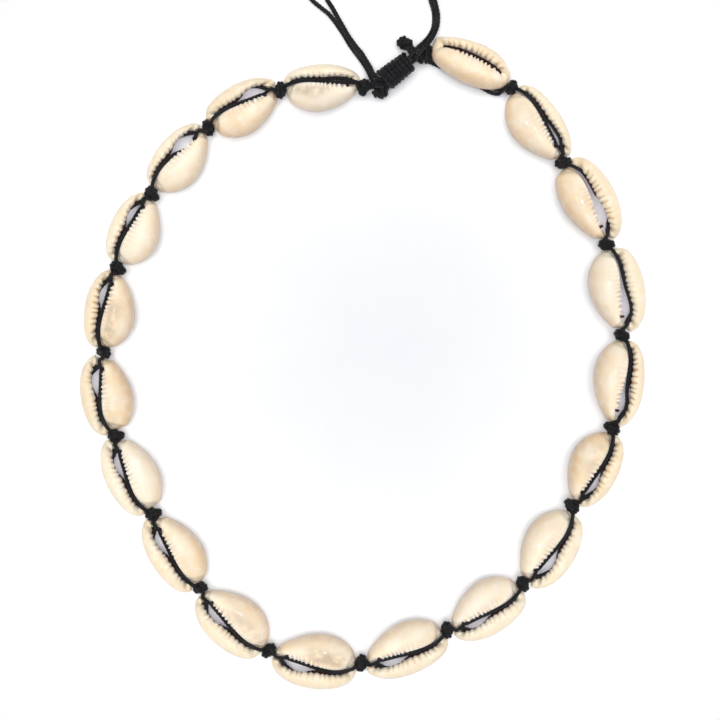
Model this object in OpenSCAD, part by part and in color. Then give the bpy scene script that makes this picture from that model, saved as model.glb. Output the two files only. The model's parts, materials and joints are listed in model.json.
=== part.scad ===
// Cowrie shell choker, lying flat with the shells' slits up.
// Millimetres, +Z up. The shells' cut backs lie on z = 0, +Y points to the closure,
// and the origin is the middle of the loop.

/* [Shells] */
// Height of a shell above its cut back
shell_h = 5.4; // [5.2:0.1:6]
// Thickness of a shell's wall
wall = 1.2; // [0.9:0.05:1.3]
// Clear length that each knot and its slack take between two shells
knot_room = 1.6; // [1.5:0.1:1.8]
// How far the floor of the end channels stands above the cut back
channel_h = 1.2; // [0.9:0.1:1.3]

/* [Cord] */
// Diameter of one strand of the waxed cord
cord_d = 1; // [0.9:0.05:1.1]
// Width of a knot between two shells, across the line
knot_w = 3.6; // [3.2:0.1:3.7]
// Length of a knot between two shells, along the line
knot_len = 1.9; // [1.7:0.05:1.95]

/* [Sliding knot] */
// Turns of cord round the sliding knot
turns = 7; // [6:1:8]
// Outer diameter of the sliding knot
barrel_d = 5.4; // [5.1:0.1:5.4]
// Length of the sliding knot
barrel_len = 7.8; // [7.4:0.1:7.8]
// Diameter of the two knotted ends of its cord
end_knot_d = 3.3; // [3:0.1:3.3]

/* [Tails] */
// Diameter of the knots at the ends of the tails
tail_knot_d = 2.6; // [2.2:0.1:2.7]

/* [Hidden] */
gap = 0.1;
cord_colour = "#17161a";
shell_colour = "#efdcc0";
round_fn = 48;

// Middles of the knots between the shells. Columns: x, y
KNOTS = [
    [0.2, 60.5],
    [-18.2, 59.9],
    [-34.1, 51.6],
    [-46.3, 37.1],
    [-53.9, 20.8],
    [-57.1, 2.2],
    [-54.3, -16.0],
    [-46.1, -33.2],
    [-35.8, -49.7],
    [-20.7, -63.4],
    [-0.4, -66.1],
    [18.5, -58.8],
    [35.2, -48.7],
    [45.9, -31.6],
    [54.7, -14.5],
    [57.0, 6.1],
    [53.6, 26.0],
    [44.0, 44.0],
    [32.6, 60.6],
    [13.2, 67.6],
];

// The last shell has slipped outward off its strands: where knots at its two ends would be
LAST_BROAD = [14.7, 69.4];
LAST_NARROW = [32.8, 62.4];

// Each shell against the line through its knots. Columns: width inside the loop, width outside it,
// width of the slit, how much longer than its room the shell is, how far it sits toward knot i,
// and how far out its slit bows
SHELLS = [
    [4.8, 5.5, 1.4, 0, 0, 2.2],
    [5.2, 5.8, 1.9, 0.8, 0.2, 2.1],
    [5.0, 5.6, 1.7, -0.4, 0.4, 2.6],
    [5.5, 5.6, 1.6, 0, 0.2, 2.2],
    [5.3, 5.8, 1.6, 0, 0, 2.2],
    [4.8, 6.5, 1.8, 1.1, 0, 2.8],
    [5.0, 6.6, 1.6, 1, 0.3, 2.6],
    [5.2, 6.3, 1.6, 0.8, 0.1, 2.1],
    [5.4, 6.8, 1.6, -0.5, 0, 2.4],
    [5.0, 7.1, 1.8, -0.2, 0, 3.0],
    [4.9, 6.4, 1.6, 0.3, 0.1, 2.3],
    [5.3, 6.4, 1.5, -0.1, 0, 2.1],
    [5.2, 6.8, 1.8, -0.2, 0.6, 2.6],
    [5.0, 6.0, 1.5, -0.4, 0.1, 2.3],
    [5.0, 6.1, 1.6, -0.2, 0.2, 2.7],
    [5.3, 6.8, 1.8, 0.2, 0.4, 2.3],
    [4.6, 7.1, 1.5, 1.2, -0.1, 2.7],
    [5.6, 5.5, 1.5, 0.1, 0.2, 2.4],
    [5.5, 4.2, 1.2, 0, 0, 1.0],
];
INNER = 0;
OUTER = 1;
SLIT = 2;
LONGER = 3;
SHIFT = 4;
BOW = 5;

// Sections round a shell, from the narrow end over the outer side. Columns: angle, 1 in a channel
STATIONS = [
    [7, 1],
    [14, 0],
    [32, 0],
    [52, 0],
    [72, 0],
    [92, 0],
    [112, 0],
    [132, 0],
    [150, 0],
    [166, 0],
    [173, 1],
    [194, 1],
    [205, 0],
    [228, 0],
    [254, 0],
    [280, 0],
    [306, 0],
    [328, 0],
    [341, 1],
];

// One section of the wall, from the cut back over the top to the slit and down inside.
// Columns: share of the way from slit to outline, walls taken off that, share of the height
WALL = [
    [0.87, 0, 0],
    [0.97, 0, 0.2],
    [1, 0, 0.48],
    [0.94, 0, 0.76],
    [0.74, 0, 0.94],
    [0.4, 0, 1],
    [0.08, 0, 0.96],
    [0, 0, 0.84],
    [0.1, 0.1, 0.72],
    [0.7, 0.7, 0.72],
    [1, 1, 0.48],
    [0.87, 1, 0],
];

// Fullness of the outline: under 1 is squarer at the ends, over 1 more pointed. Both sides are a
// little more pointed at the narrow end, where the inner side also thins to a beak
outer_power = 0.65;
inner_power = 1.45;
end_power = 0.08;
beak_thin = 0.25;
// The slit is wider toward the narrow end by this share, and blunt at its tips
slit_flare = 0.25;
slit_power = 0.3;
// How far out the slit's line is at its ends
slit_end_y = 0.4;
// Dent in the outline where a channel opens: how deep for a shell as long as its room, and how far
// it reaches to each side
dent = 0.9;
dent_reach = 2.2;
// Clear length of shell beyond each end of the slit, and the least width that lets the cord by
slit_margin = 1.9;
slit_least = 1.82;
// The last shell leans on its strands, and its inner rim stands off by this angle
last_lean = 10.5;

LAST = 18;

function broad_end(i) = i == LAST ? LAST_BROAD : KNOTS[i + 1];
function narrow_end(i) = i == LAST ? LAST_NARROW : KNOTS[i];
function chord(a, b) = norm(b - a);
function heading(a, b) = atan2(b[1] - a[1], b[0] - a[0]);

// A power of a sine or cosine, whatever its sign
function power(base, exponent) = pow(max(abs(base), 0.0001), exponent);

// Half of the room between the two knots of shell i, and half the length of the shell
function half_room(i) = (chord(broad_end(i), narrow_end(i)) - knot_room) / 2;
function half_length(i) = half_room(i) + SHELLS[i][LONGER] / 2;

// Outline of shell i at angle u, seen from above
function outline(i, u) =
    let (
        w = SHELLS[i],
        outer = w[OUTER] * power(sin(u), outer_power + end_power * cos(u)),
        inner = -w[INNER] * power(sin(u), inner_power + end_power * cos(u)) * (1 - beak_thin * cos(u)),
        y = sin(u) > 0 ? outer : inner,
        end = sign(cos(u)),
        depth = dent + w[LONGER] / 2 + end * w[SHIFT],
        inward = depth * max(0, 1 - pow(y / dent_reach, 2))
    )
    [cos(u) * half_length(i) + w[SHIFT] - end * inward, y];

// Edge of the slit of shell i at angle u
function slit_edge(i, u) =
    let (
        half = SHELLS[i][SLIT] / 2 * (1 + slit_flare * cos(u)) * power(sin(u), slit_power),
        along = cos(u),
        middle = slit_end_y + (SHELLS[i][BOW] - slit_end_y) * (1 - along * along)
    )
    [along * (half_room(i) - slit_margin), middle + sign(sin(u)) * max(half, slit_least / 2)];

// One section of the wall of shell i
function section(i, station) =
    let (
        u = station[0],
        top = station[1] == 1 ? channel_h : shell_h,
        inside = slit_edge(i, u),
        across = outline(i, u) - inside,
        reach = norm(across),
        way = across / reach
    )
    [
        for (p = WALL)
            let (at = inside + way * (p[0] * reach - p[1] * wall))
            [at[0], at[1], p[2] * top]
    ];

// Closed skin over rings of equal count, joined into a loop of rings
module ring_skin(rings) {
    n = len(rings);
    m = len(rings[0]);
    points = [for (r = rings) for (p = r) p];
    faces = [
        for (i = [0 : n - 1])
            for (j = [0 : m - 1])
                let (
                    a = i * m + j,
                    b = i * m + (j + 1) % m,
                    c = ((i + 1) % n) * m + (j + 1) % m,
                    d = ((i + 1) % n) * m + j
                )
                for (t = [[a, b, c], [a, c, d]]) t
    ];
    polyhedron(points, faces);
}

// Puts what is drawn along +X on the line from a to b, with its middle between them
module on_line(a, b) {
    middle = (a + b) / 2;
    translate([middle[0], middle[1], 0]) rotate([0, 0, heading(a, b)]) children();
}

module shell(i) {
    outer_rim = section(i, [90, 0])[0][1];
    lean = i == LAST ? last_lean : 0;
    color(shell_colour)
        on_line(broad_end(i), narrow_end(i))
            translate([0, outer_rim, 0]) rotate([-lean, 0, 0]) translate([0, -outer_rim, 0])
                ring_skin([for (s = STATIONS) section(i, s)]);
}

// Sides of a cord's tube, and the steps of a strand inside a shell
cord_sides = 8;
strand_steps = 8;

// Direction of a path at its point k
function tangent(path, k) =
    let (
        before = path[max(k - 1, 0)],
        after = path[min(k + 1, len(path) - 1)]
    )
    (after - before) / norm(after - before);

// Level direction across a path at its point k
function across(path, k) =
    let (side = cross([0, 0, 1], tangent(path, k)))
    side / norm(side);

// The path moved sideways
function beside(path, shift) = [for (k = [0 : len(path) - 1]) path[k] + across(path, k) * shift];

// A ring of points round point k of a path
function cord_ring(path, k, d) =
    let (
        side = across(path, k),
        up = cross(tangent(path, k), side)
    )
    [
        for (s = [0 : cord_sides - 1])
            let (a = (s + 0.5) * 360 / cord_sides)
            path[k] + (side * cos(a) + up * sin(a)) * d / 2
    ];

// A cord's tube along a path, with flat ends
module cord_tube(path) {
    n = len(path);
    m = cord_sides;
    points = [for (k = [0 : n - 1]) for (p = cord_ring(path, k, cord_d)) p];
    sides = [
        for (k = [0 : n - 2])
            for (s = [0 : m - 1])
                let (
                    a = k * m + s,
                    b = k * m + (s + 1) % m
                )
                for (t = [[a, b + m, b], [a, a + m, b + m]]) t
    ];
    start = [for (s = [0 : m - 1]) s];
    finish = [for (s = [m - 1 : -1 : 0]) (n - 1) * m + s];
    polyhedron(points, concat(sides, [start], [finish]));
}

// The two strands in a shell: how far out from the line through its knots, and how high.
// Columns: y at the ends, y in the middle as a share of the slit's bow, z at the ends, z in the middle
STRANDS = [
    [0.2, 0.8, 3.1, 3.1],
    [0.1, 0.9, 1.9, 2.2],
];

// The path of a strand through a shell whose slit bows that far, from x0 to x1
function strand(x0, x1, s, bow) = [
    for (k = [0 : strand_steps])
        let (
            x = x0 + (x1 - x0) * k / strand_steps,
            t = 2 * k / strand_steps - 1,
            rise = pow(1 - t * t, 2)
        )
        [x, s[0] + (s[1] * bow - s[0]) * rise, s[2] + (s[3] - s[2]) * rise]
];

// Middle height of the knots, and the lean of their turns
knot_z = 2.5;
knot_lean = 8;
// Diameter of a knot's turn and length of its waist, as shares of the knot's length
turn_share = 0.58;
waist_share = 0.8;
// Clear length from a knot to the next strands
knot_clear = 0.5;
// The knot at the closure lies lower, on the surface
low_knot_z = 1.85;

// An overhand knot in the doubled cord, its line along +X: two fat turns side by side
module knot_lump(width, length) {
    turn_d = length * turn_share;
    rotate([0, 90, knot_lean])
        rotate_extrude($fn = round_fn)
            union() {
                for (s = [-1, 1])
                    translate([(width - turn_d) / 2, s * (length - turn_d) / 2]) circle(d = turn_d);
                translate([0, -length * waist_share / 2]) square([(width - turn_d) / 2, length * waist_share]);
            }
}

// A knot with its middle at a point, its line at an angle
module knot_at(point, angle, width, length) {
    translate(point) rotate([0, 0, angle]) knot_lump(width, length);
}

// Half of the bend in the line at knot i, which the knot turns by to lie across both stretches
function knot_turn(i) =
    i == 0 ? 0 :
    let (bend = heading(KNOTS[i], KNOTS[i - 1]) - heading(KNOTS[i + 1], KNOTS[i]))
    ((bend + 540) % 360 - 180) / 2;

// Knot i with the two strands through its shell to the next knot
module cord_stretch(i) {
    half = chord(KNOTS[i + 1], KNOTS[i]) / 2;
    start = -half + knot_len / 2 + knot_clear;
    color(cord_colour)
        on_line(KNOTS[i + 1], KNOTS[i]) {
            knot_at([half, 0, knot_z], knot_turn(i), knot_w, knot_len);
            for (s = STRANDS) cord_tube(strand(start, half, s, SHELLS[i][BOW]));
        }
}

// Middle line of the two strands that pass under the last shell. Columns: x, y, z
LAST_ROUTE = [
    [32.6, 60.6, 2.5],
    [31.2, 59.9, 1.8],
    [29.9, 59.7, 1.0],
    [28.4, 60.0, 0.5],
    [26.9, 60.8, 0.5],
    [25.0, 61.9, 0.5],
    [22.0, 63.4, 0.5],
    [19.0, 64.9, 0.5],
    [16.6, 66.0, 0.5],
    [15.2, 66.6, 0.5],
    [14.5, 66.9, 0.5],
];

// Angle of the knot at the start of that route, and the clear width between its two strands
last_knot_angle = -30;
strand_gap = 0.04;

// The last knot with its two strands, side by side under the last shell
module last_stretch() {
    color(cord_colour) {
        knot_at(LAST_ROUTE[0], last_knot_angle, knot_w, knot_len);
        for (s = [-1, 1])
            cord_tube(beside(LAST_ROUTE, s * (cord_d + strand_gap) / 2));
    }
}

// The sliding knot: the middles of its two end faces, and the height of its axis
BARREL_LEFT = [4.35, 61.8];
BARREL_RIGHT = [10.5, 66.6];
barrel_z = 2.75;
// Bore of the sliding knot, filled by four strands, and how far its turns sink into each other
bore_d = 2.8;
turn_overlap = 1.08;

module sliding_knot() {
    pitch = barrel_len / turns;
    turn_d = pitch * turn_overlap;
    color(cord_colour)
        translate([0, 0, barrel_z])
            on_line(BARREL_LEFT, BARREL_RIGHT)
                rotate([0, 90, 0])
                    rotate_extrude($fn = round_fn)
                        difference() {
                            union() {
                                for (k = [0 : turns - 1])
                                    translate([(barrel_d - turn_d) / 2, (k - (turns - 1) / 2) * pitch])
                                        circle(d = turn_d);
                                translate([bore_d / 2, -(barrel_len - pitch) / 2])
                                    square([(barrel_d - bore_d) / 4, barrel_len - pitch]);
                            }
                            translate([0, -barrel_len / 2]) square([bore_d / 2, barrel_len]);
                        }
}

// Strands from the closure's knot through the sliding knot. Columns: x, y, z
THROUGH_OUTER = [
    [13.2, 67.9, 1.7],
    [12.2, 67.7, 1.8],
    [11.3, 67.5, 2.0],
    [10.2, 67.1, 2.2],
    [7.3, 64.8, 2.2],
    [4.1, 62.4, 2.2],
];
THROUGH_INNER = [
    [13.2, 67.1, 1.7],
    [12.0, 66.8, 1.9],
    [10.9, 66.2, 2.2],
    [8.0, 63.9, 2.2],
    [4.9, 61.5, 2.2],
];

// The knot beside the last shell with its two strands through the sliding knot
module closing_stretch() {
    color(cord_colour) {
        knot_at([KNOTS[LAST + 1][0], KNOTS[LAST + 1][1], low_knot_z], 0, knot_w, knot_len);
        cord_tube(THROUGH_OUTER);
        cord_tube(THROUGH_INNER);
    }
}

// Middle, angle and length of the stopper knot between the first knot and the sliding knot
STOPPER = [3.8, 60.0, 1.65];
stopper_angle = 30;
stopper_len = 2.6;
// Thickness of a neck of two strands
neck_d = 1.7;

module stopper_knot() {
    neck = STOPPER[0] - KNOTS[0][0] - knot_len / 2 - knot_clear;
    color(cord_colour)
        translate(STOPPER) {
            rotate([0, 0, stopper_angle]) knot_lump(end_knot_d, stopper_len);
            translate([-neck, 0, neck_d / 2]) rotate([0, 90, 0]) cylinder(h = neck, d = neck_d, $fn = round_fn);
        }
}

// Middle and angle of the cut end's knot, and the length of its stem
CUT_END = [9.2, 70.4, 1.65];
cut_end_angle = -70;
stem_len = 2.2;

module cut_end_knot() {
    color(cord_colour)
        translate(CUT_END)
            rotate([0, 0, cut_end_angle]) {
                knot_lump(end_knot_d, stopper_len);
                rotate([0, 90, 0]) cylinder(h = stem_len, d = cord_d, $fn = round_fn);
            }
}

// The tails start in the middle of the sliding knot. Columns: x, y, z
TAIL_LEFT_A = [
    [7.9, 63.8, 3.3],
    [6.5, 62.7, 3.3],
    [5.0, 61.6, 3.3],
    [4.4, 61.2, 3.6],
    [3.7, 60.8, 4.0],
    [2.9, 60.9, 3.9],
    [2.4, 61.5, 3.5],
    [1.9, 62.3, 2.8],
    [1.5, 63.3, 2.1],
    [1.0, 64.4, 1.5],
    [0.3, 65.6, 0.9],
    [-0.5, 66.8, 0.5],
    [-1.5, 68.1, 0.5],
    [-2.8, 69.9, 0.5],
    [-4.0, 71.9, 0.5],
    [-5.1, 73.6, 0.5],
    [-6.3, 75.3, 0.5],
    [-7.6, 76.9, 0.5],
    [-9.2, 78.2, 0.5],
    [-11.0, 79.7, 0.5],
    [-12.6, 81.5, 0.5],
    [-13.8, 83.6, 0.5],
    [-14.6, 85.8, 0.9],
    [-15.0, 87.6, 1.3],
];
TAIL_LEFT_B = [
    [6.5, 64.2, 3.3],
    [5.7, 63.6, 3.3],
    [4.3, 62.5, 3.3],
    [3.7, 62.1, 3.5],
    [3.1, 62.4, 3.7],
    [2.6, 63.1, 3.5],
    [2.1, 63.7, 2.9],
    [1.7, 64.7, 2.3],
    [1.1, 65.8, 1.7],
    [0.5, 66.8, 1.4],
    [-0.3, 68.1, 1.2],
    [-1.4, 69.4, 1.4],
    [-2.4, 70.7, 1.6],
    [-3.3, 72.0, 1.7],
    [-4.0, 73.2, 1.6],
    [-4.9, 74.8, 1.4],
    [-5.8, 76.4, 1.1],
    [-6.6, 77.9, 0.8],
    [-7.6, 79.5, 0.5],
    [-8.6, 81.4, 0.5],
    [-9.4, 83.4, 0.5],
    [-9.9, 85.2, 0.8],
    [-10.2, 87.0, 1.3],
];
TAIL_RIGHT_A = [
    [6.6, 64.3, 3.3],
    [8.8, 66.0, 3.3],
    [10.2, 67.1, 3.3],
    [11.1, 68.3, 3.3],
    [12.2, 69.4, 3.1],
    [13.4, 70.5, 2.5],
    [14.3, 71.5, 1.7],
    [15.0, 72.6, 0.9],
    [15.5, 73.8, 0.5],
    [15.7, 75.2, 0.5],
    [15.7, 76.6, 0.5],
    [15.5, 77.9, 0.5],
    [15.0, 79.6, 0.5],
    [14.4, 82.0, 0.5],
    [13.9, 84.4, 0.5],
    [13.5, 86.8, 0.5],
    [13.3, 88.9, 0.8],
    [13.3, 90.8, 1.4],
];
TAIL_RIGHT_B = [
    [8.0, 63.9, 3.3],
    [9.5, 65.1, 3.3],
    [10.9, 66.2, 3.3],
    [11.9, 67.2, 4.0],
    [12.7, 68.3, 4.3],
    [13.6, 69.3, 4.2],
    [14.4, 70.3, 3.5],
    [15.2, 71.4, 2.5],
    [15.8, 72.6, 1.7],
    [16.3, 73.9, 1.4],
    [16.5, 75.3, 1.4],
    [16.5, 76.7, 1.4],
    [16.2, 78.2, 1.4],
    [15.8, 79.8, 1.4],
    [15.4, 82.2, 1.1],
    [15.0, 84.5, 0.8],
    [14.7, 86.8, 0.5],
    [14.5, 88.9, 0.8],
    [14.5, 90.8, 1.4],
];

module tail(path) {
    color(cord_colour) cord_tube(path);
}

// Length of the tails' knots, and width of the one that ties two strands, as shares of the diameter
tail_knot_share = 0.8;
pair_knot_share = 1.3;

// The plain knot past the end of a tail, lying on the surface. Columns of its row: x, y, angle
module tail_knot(place, width) {
    middle = [place[0], place[1], width / 2 + gap / 2];
    color(cord_colour) knot_at(middle, place[2], width, tail_knot_d * tail_knot_share);
}

// Ends of the tails. Columns: x, y, angle
END_LEFT_A = [-15.2, 88.9, 100];
END_LEFT_B = [-10.4, 88.3, 100];
END_RIGHT = [13.9, 92.1, 90];

function numbered(kind, i) = str(kind, i < 9 ? "_0" : "_", i + 1);

for (i = [0 : LAST])
    shell(i);
for (i = [0 : LAST - 1])
    cord_stretch(i);
last_stretch();
closing_stretch();
sliding_knot();
stopper_knot();
cut_end_knot();
tail(TAIL_LEFT_A);  // tail_left_a
tail(TAIL_LEFT_B);  // tail_left_b
tail(TAIL_RIGHT_A);  // tail_right_a
tail(TAIL_RIGHT_B);  // tail_right_b
tail_knot(END_LEFT_A, tail_knot_d);  // tail_knot_left_a
tail_knot(END_LEFT_B, tail_knot_d);  // tail_knot_left_b
tail_knot(END_RIGHT, tail_knot_d * pair_knot_share);  // tail_knot_right
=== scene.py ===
# %% [markdown]
# # A choker of cowrie shells
#
# Nineteen small cowries, each with its back sliced off, are threaded on two strands of black waxed
# cord, with an overhand knot between every two of them. A sliding knot at the top closes the loop.
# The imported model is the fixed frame: it says where each piece is and how large. This lesson builds
# the fine shells and cords that stand for its plain solids, and gives them their finishes.

# %% Load the frame
import json
import math
import bpy
import numpy as np
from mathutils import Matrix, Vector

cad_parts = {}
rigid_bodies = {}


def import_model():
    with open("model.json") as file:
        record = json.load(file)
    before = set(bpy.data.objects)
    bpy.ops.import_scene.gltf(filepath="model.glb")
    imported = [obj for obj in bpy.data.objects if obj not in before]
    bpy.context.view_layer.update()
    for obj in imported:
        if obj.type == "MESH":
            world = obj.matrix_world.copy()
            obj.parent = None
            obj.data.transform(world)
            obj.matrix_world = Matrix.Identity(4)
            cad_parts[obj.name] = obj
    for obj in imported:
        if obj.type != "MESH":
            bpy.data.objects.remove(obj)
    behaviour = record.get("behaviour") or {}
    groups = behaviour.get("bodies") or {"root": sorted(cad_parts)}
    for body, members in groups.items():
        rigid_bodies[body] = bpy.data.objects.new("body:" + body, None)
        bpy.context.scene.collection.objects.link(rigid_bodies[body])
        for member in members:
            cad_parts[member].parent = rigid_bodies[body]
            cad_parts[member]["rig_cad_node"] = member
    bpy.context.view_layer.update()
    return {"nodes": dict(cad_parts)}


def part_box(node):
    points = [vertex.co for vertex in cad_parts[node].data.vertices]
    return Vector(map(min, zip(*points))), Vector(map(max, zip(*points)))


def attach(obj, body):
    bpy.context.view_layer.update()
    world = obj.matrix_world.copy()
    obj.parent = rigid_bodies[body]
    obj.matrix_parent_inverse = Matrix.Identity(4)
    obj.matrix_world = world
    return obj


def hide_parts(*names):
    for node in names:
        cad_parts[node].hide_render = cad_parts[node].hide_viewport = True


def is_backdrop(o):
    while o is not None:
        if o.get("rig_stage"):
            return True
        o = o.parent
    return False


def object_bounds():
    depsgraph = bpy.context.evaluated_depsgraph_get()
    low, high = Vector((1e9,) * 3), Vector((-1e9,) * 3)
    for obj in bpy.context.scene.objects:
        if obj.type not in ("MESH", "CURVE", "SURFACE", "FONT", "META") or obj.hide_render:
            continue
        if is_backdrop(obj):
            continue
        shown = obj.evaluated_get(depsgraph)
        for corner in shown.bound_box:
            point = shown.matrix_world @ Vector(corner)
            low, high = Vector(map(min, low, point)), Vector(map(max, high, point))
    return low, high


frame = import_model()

MM = 0.001
scene = bpy.context.scene
print("nodes in the frame:", len(frame["nodes"]))

# %% [markdown]
# ## The camera
#
# The choker was photographed lying on a white table from straight above. A camera close by would
# show more of the shells' outer flanks than the picture does, so a long lens looks down from 0.9 m.
# The lens follows from the width of table that the picture takes in at the shells' middle height.

# %% Look straight down
PICTURE_W = 158.4
PICTURE_MIDDLE = (-0.66, 0.55)
MIDDLE_Z = 2.7
CAMERA_HEIGHT = 900
SENSOR = 36

camera = bpy.data.objects.new("camera", bpy.data.cameras.new("camera"))
scene.collection.objects.link(camera)
camera.data.sensor_width = SENSOR
camera.data.lens = SENSOR * CAMERA_HEIGHT / PICTURE_W
camera.location = (PICTURE_MIDDLE[0] * MM, PICTURE_MIDDLE[1] * MM, (MIDDLE_Z + CAMERA_HEIGHT) * MM)
camera.data.clip_start = 0.05
scene.camera = camera
print("lens %.0f mm" % camera.data.lens)

# %% [markdown]
# ## A smooth line through chosen points
#
# A cord's route is a short list of points. The curve through them is a Catmull-Rom spline whose
# parameter follows the square root of the distance, because that form never overshoots or loops
# where two points lie close together. It is then cut into even steps, so that the tube's rings are
# evenly spaced.


# %% Curves and even steps
def blend(t, start, end, a, b):
    """The point that is a at the start and b at the end, at t on the way."""
    return (end - t) / (end - start) * a + (t - start) / (end - start) * b


def curve_through(points, per_span=10):
    """Points of a smooth curve that passes through all the given ones."""
    points = np.asarray(points, float)
    p = np.vstack([2 * points[0] - points[1], points, 2 * points[-1] - points[-2]])
    made = []
    for k in range(1, len(p) - 2):
        p0, p1, p2, p3 = p[k - 1:k + 3]
        t0 = 0
        t1 = t0 + math.sqrt(np.linalg.norm(p1 - p0))
        t2 = t1 + math.sqrt(np.linalg.norm(p2 - p1))
        t3 = t2 + math.sqrt(np.linalg.norm(p3 - p2))
        t = np.linspace(t1, t2, per_span, endpoint=False)[:, None]
        a1, a2, a3 = blend(t, t0, t1, p0, p1), blend(t, t1, t2, p1, p2), blend(t, t2, t3, p2, p3)
        b1, b2 = blend(t, t0, t2, a1, a2), blend(t, t1, t3, a2, a3)
        made.append(blend(t, t1, t2, b1, b2))
    return np.vstack([*made, points[-1:]])


def distances(path):
    """How far along the path each of its points is."""
    return np.concatenate([[0], np.cumsum(np.linalg.norm(np.diff(path, axis=0), axis=1))])


def even_steps(path, step):
    """The same path with its points about a step apart."""
    along = distances(path)
    at = np.linspace(0, along[-1], max(2, round(along[-1] / step) + 1))
    return np.stack([np.interp(at, along, path[:, k]) for k in range(path.shape[1])], axis=1)


# %% [markdown]
# ## Pieces from points and faces
#
# Shells and cords could be sculpted or built up with modifiers, but a mesh made from arrays puts
# every point where a formula says. One helper turns millimetres into metres, stores what the
# materials need to know about each point, sets the piece on its body and hides the plain solid that
# it stands for.


# %% Make a piece
def add_piece(name, points, faces, marks, material, stands_for):
    """A mesh object from points in millimetres, with vector attributes for its material."""
    mesh = bpy.data.meshes.new(name)
    mesh.from_pydata((points * MM).tolist(), [], faces)
    for key, values in marks.items():
        attribute = mesh.attributes.new(key, "FLOAT_VECTOR", "POINT")
        attribute.data.foreach_set("vector", values.astype(np.float32).ravel())
    mesh.polygons.foreach_set("use_smooth", np.ones(len(mesh.polygons), bool))
    mesh.materials.append(material)
    piece = bpy.data.objects.new(name, mesh)
    scene.collection.objects.link(piece)
    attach(piece, "root")
    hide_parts(stands_for)
    return piece


def grid_faces(rows, columns, close_rows=False):
    """The squares between neighbouring points of a grid, as rows of four numbers."""
    here = np.arange(rows if close_rows else rows - 1)[:, None] * columns
    there = (here + columns) % (rows * columns)
    left = np.arange(columns)[None]
    right = (left + 1) % columns
    corners = [here + left, here + right, there + right, there + left]
    return np.stack(corners, axis=2).reshape(-1, 4)


# %% [markdown]
# ## Shader sums as Python sums
#
# A material's maths is easier to read as a sum than as a drawing of nodes. `Wire` wraps the output
# of a node, and an expression such as `1 - groove * 0.5` adds the Math nodes that it needs. Any
# other node comes from `Shader.add`, which makes its settings first and then fills its sockets.


# %% A socket that takes part in sums
class Wire:
    """The output of a node, which takes part in sums of plain values."""

    def __init__(self, shader, socket):
        self.shader = shader
        self.socket = socket

    def sum(self, operation, a, b):
        return self.shader.add("ShaderNodeMath", {"operation": operation}, {0: a, 1: b})

    def __add__(self, other):
        return self.sum("ADD", self, other)

    def __radd__(self, other):
        return self.sum("ADD", other, self)

    def __sub__(self, other):
        return self.sum("SUBTRACT", self, other)

    def __rsub__(self, other):
        return self.sum("SUBTRACT", other, self)

    def __mul__(self, other):
        return self.sum("MULTIPLY", self, other)

    def __rmul__(self, other):
        return self.sum("MULTIPLY", other, self)


# %% A material being built
class Shader:
    """A material being built, with one method that adds any node."""

    def __init__(self, name):
        self.material = bpy.data.materials.new(name)
        self.material.use_nodes = True
        self.tree = self.material.node_tree
        self.surface = self.tree.nodes["Principled BSDF"]

    def fill(self, socket, value):
        if isinstance(value, Wire):
            self.tree.links.new(value.socket, socket)
        else:
            socket.default_value = value

    def add(self, kind, settings, inputs, output=0):
        node = self.tree.nodes.new(kind)
        for key, value in settings.items():
            setattr(node, key, value)
        for key, value in inputs.items():
            self.fill(node.inputs[key], value)
        return Wire(self, node.outputs[output])

    def mix(self, share, a, b):
        """Colour a, turning into colour b as share goes from 0 to 1."""
        return self.add("ShaderNodeMix", {"data_type": "RGBA"}, {0: share, 6: a, 7: b}, output=2)

    def ramp(self, value, low, high):
        """0 up to low, 1 from high on, and smooth between them."""
        settings = {"interpolation_type": "SMOOTHSTEP"}
        return self.add("ShaderNodeMapRange", settings, {0: value, 1: low, 2: high, 3: 0, 4: 1})

    def noise(self, where, scale, detail=2, roughness=0.5):
        inputs = {"Vector": where, "Scale": scale, "Detail": detail, "Roughness": roughness}
        return self.add("ShaderNodeTexNoise", {}, inputs)

    def parts(self, name):
        """The three numbers of a point's mark of that name."""
        mark = self.add("ShaderNodeAttribute", {"attribute_name": name}, {}, output=1)
        return [self.add("ShaderNodeSeparateXYZ", {}, {0: mark}, output=k) for k in range(3)]

    def bump(self, height, distance, strength=1.0, under=None):
        inputs = {"Height": height, "Distance": distance, "Strength": strength}
        if under is not None:
            inputs["Normal"] = under
        return self.add("ShaderNodeBump", {}, inputs)

    def finish(self, **sockets):
        """Fills the surface's own sockets, whose names have _ for a space."""
        for key, value in sockets.items():
            self.fill(self.surface.inputs[key.replace("_", " ")], value)
        return self.material


# %% Colours
def colour(red, green, blue):
    """A colour as painters' programs give it, 0 to 255, turned into light."""
    def light(value):
        value /= 255
        return value / 12.92 if value <= 0.04045 else ((value + 0.055) / 1.055) ** 2.4
    return (light(red), light(green), light(blue), 1)


# %% [markdown]
# ## The waxed cord's finish
#
# The cord is a fine round braid of black cotton, rubbed with wax. It is never quite black: the wax
# gives a dull grey sheen, and the crowns of the plaits are painted a lighter grey as a painted
# highlight. The plaits are worked out from the way round and along the cord, which each point of a
# tube carries, so they follow every bend.


# %% Black waxed braid
PLAITS = 4
PLAIT_LENGTH = 1.7


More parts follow.
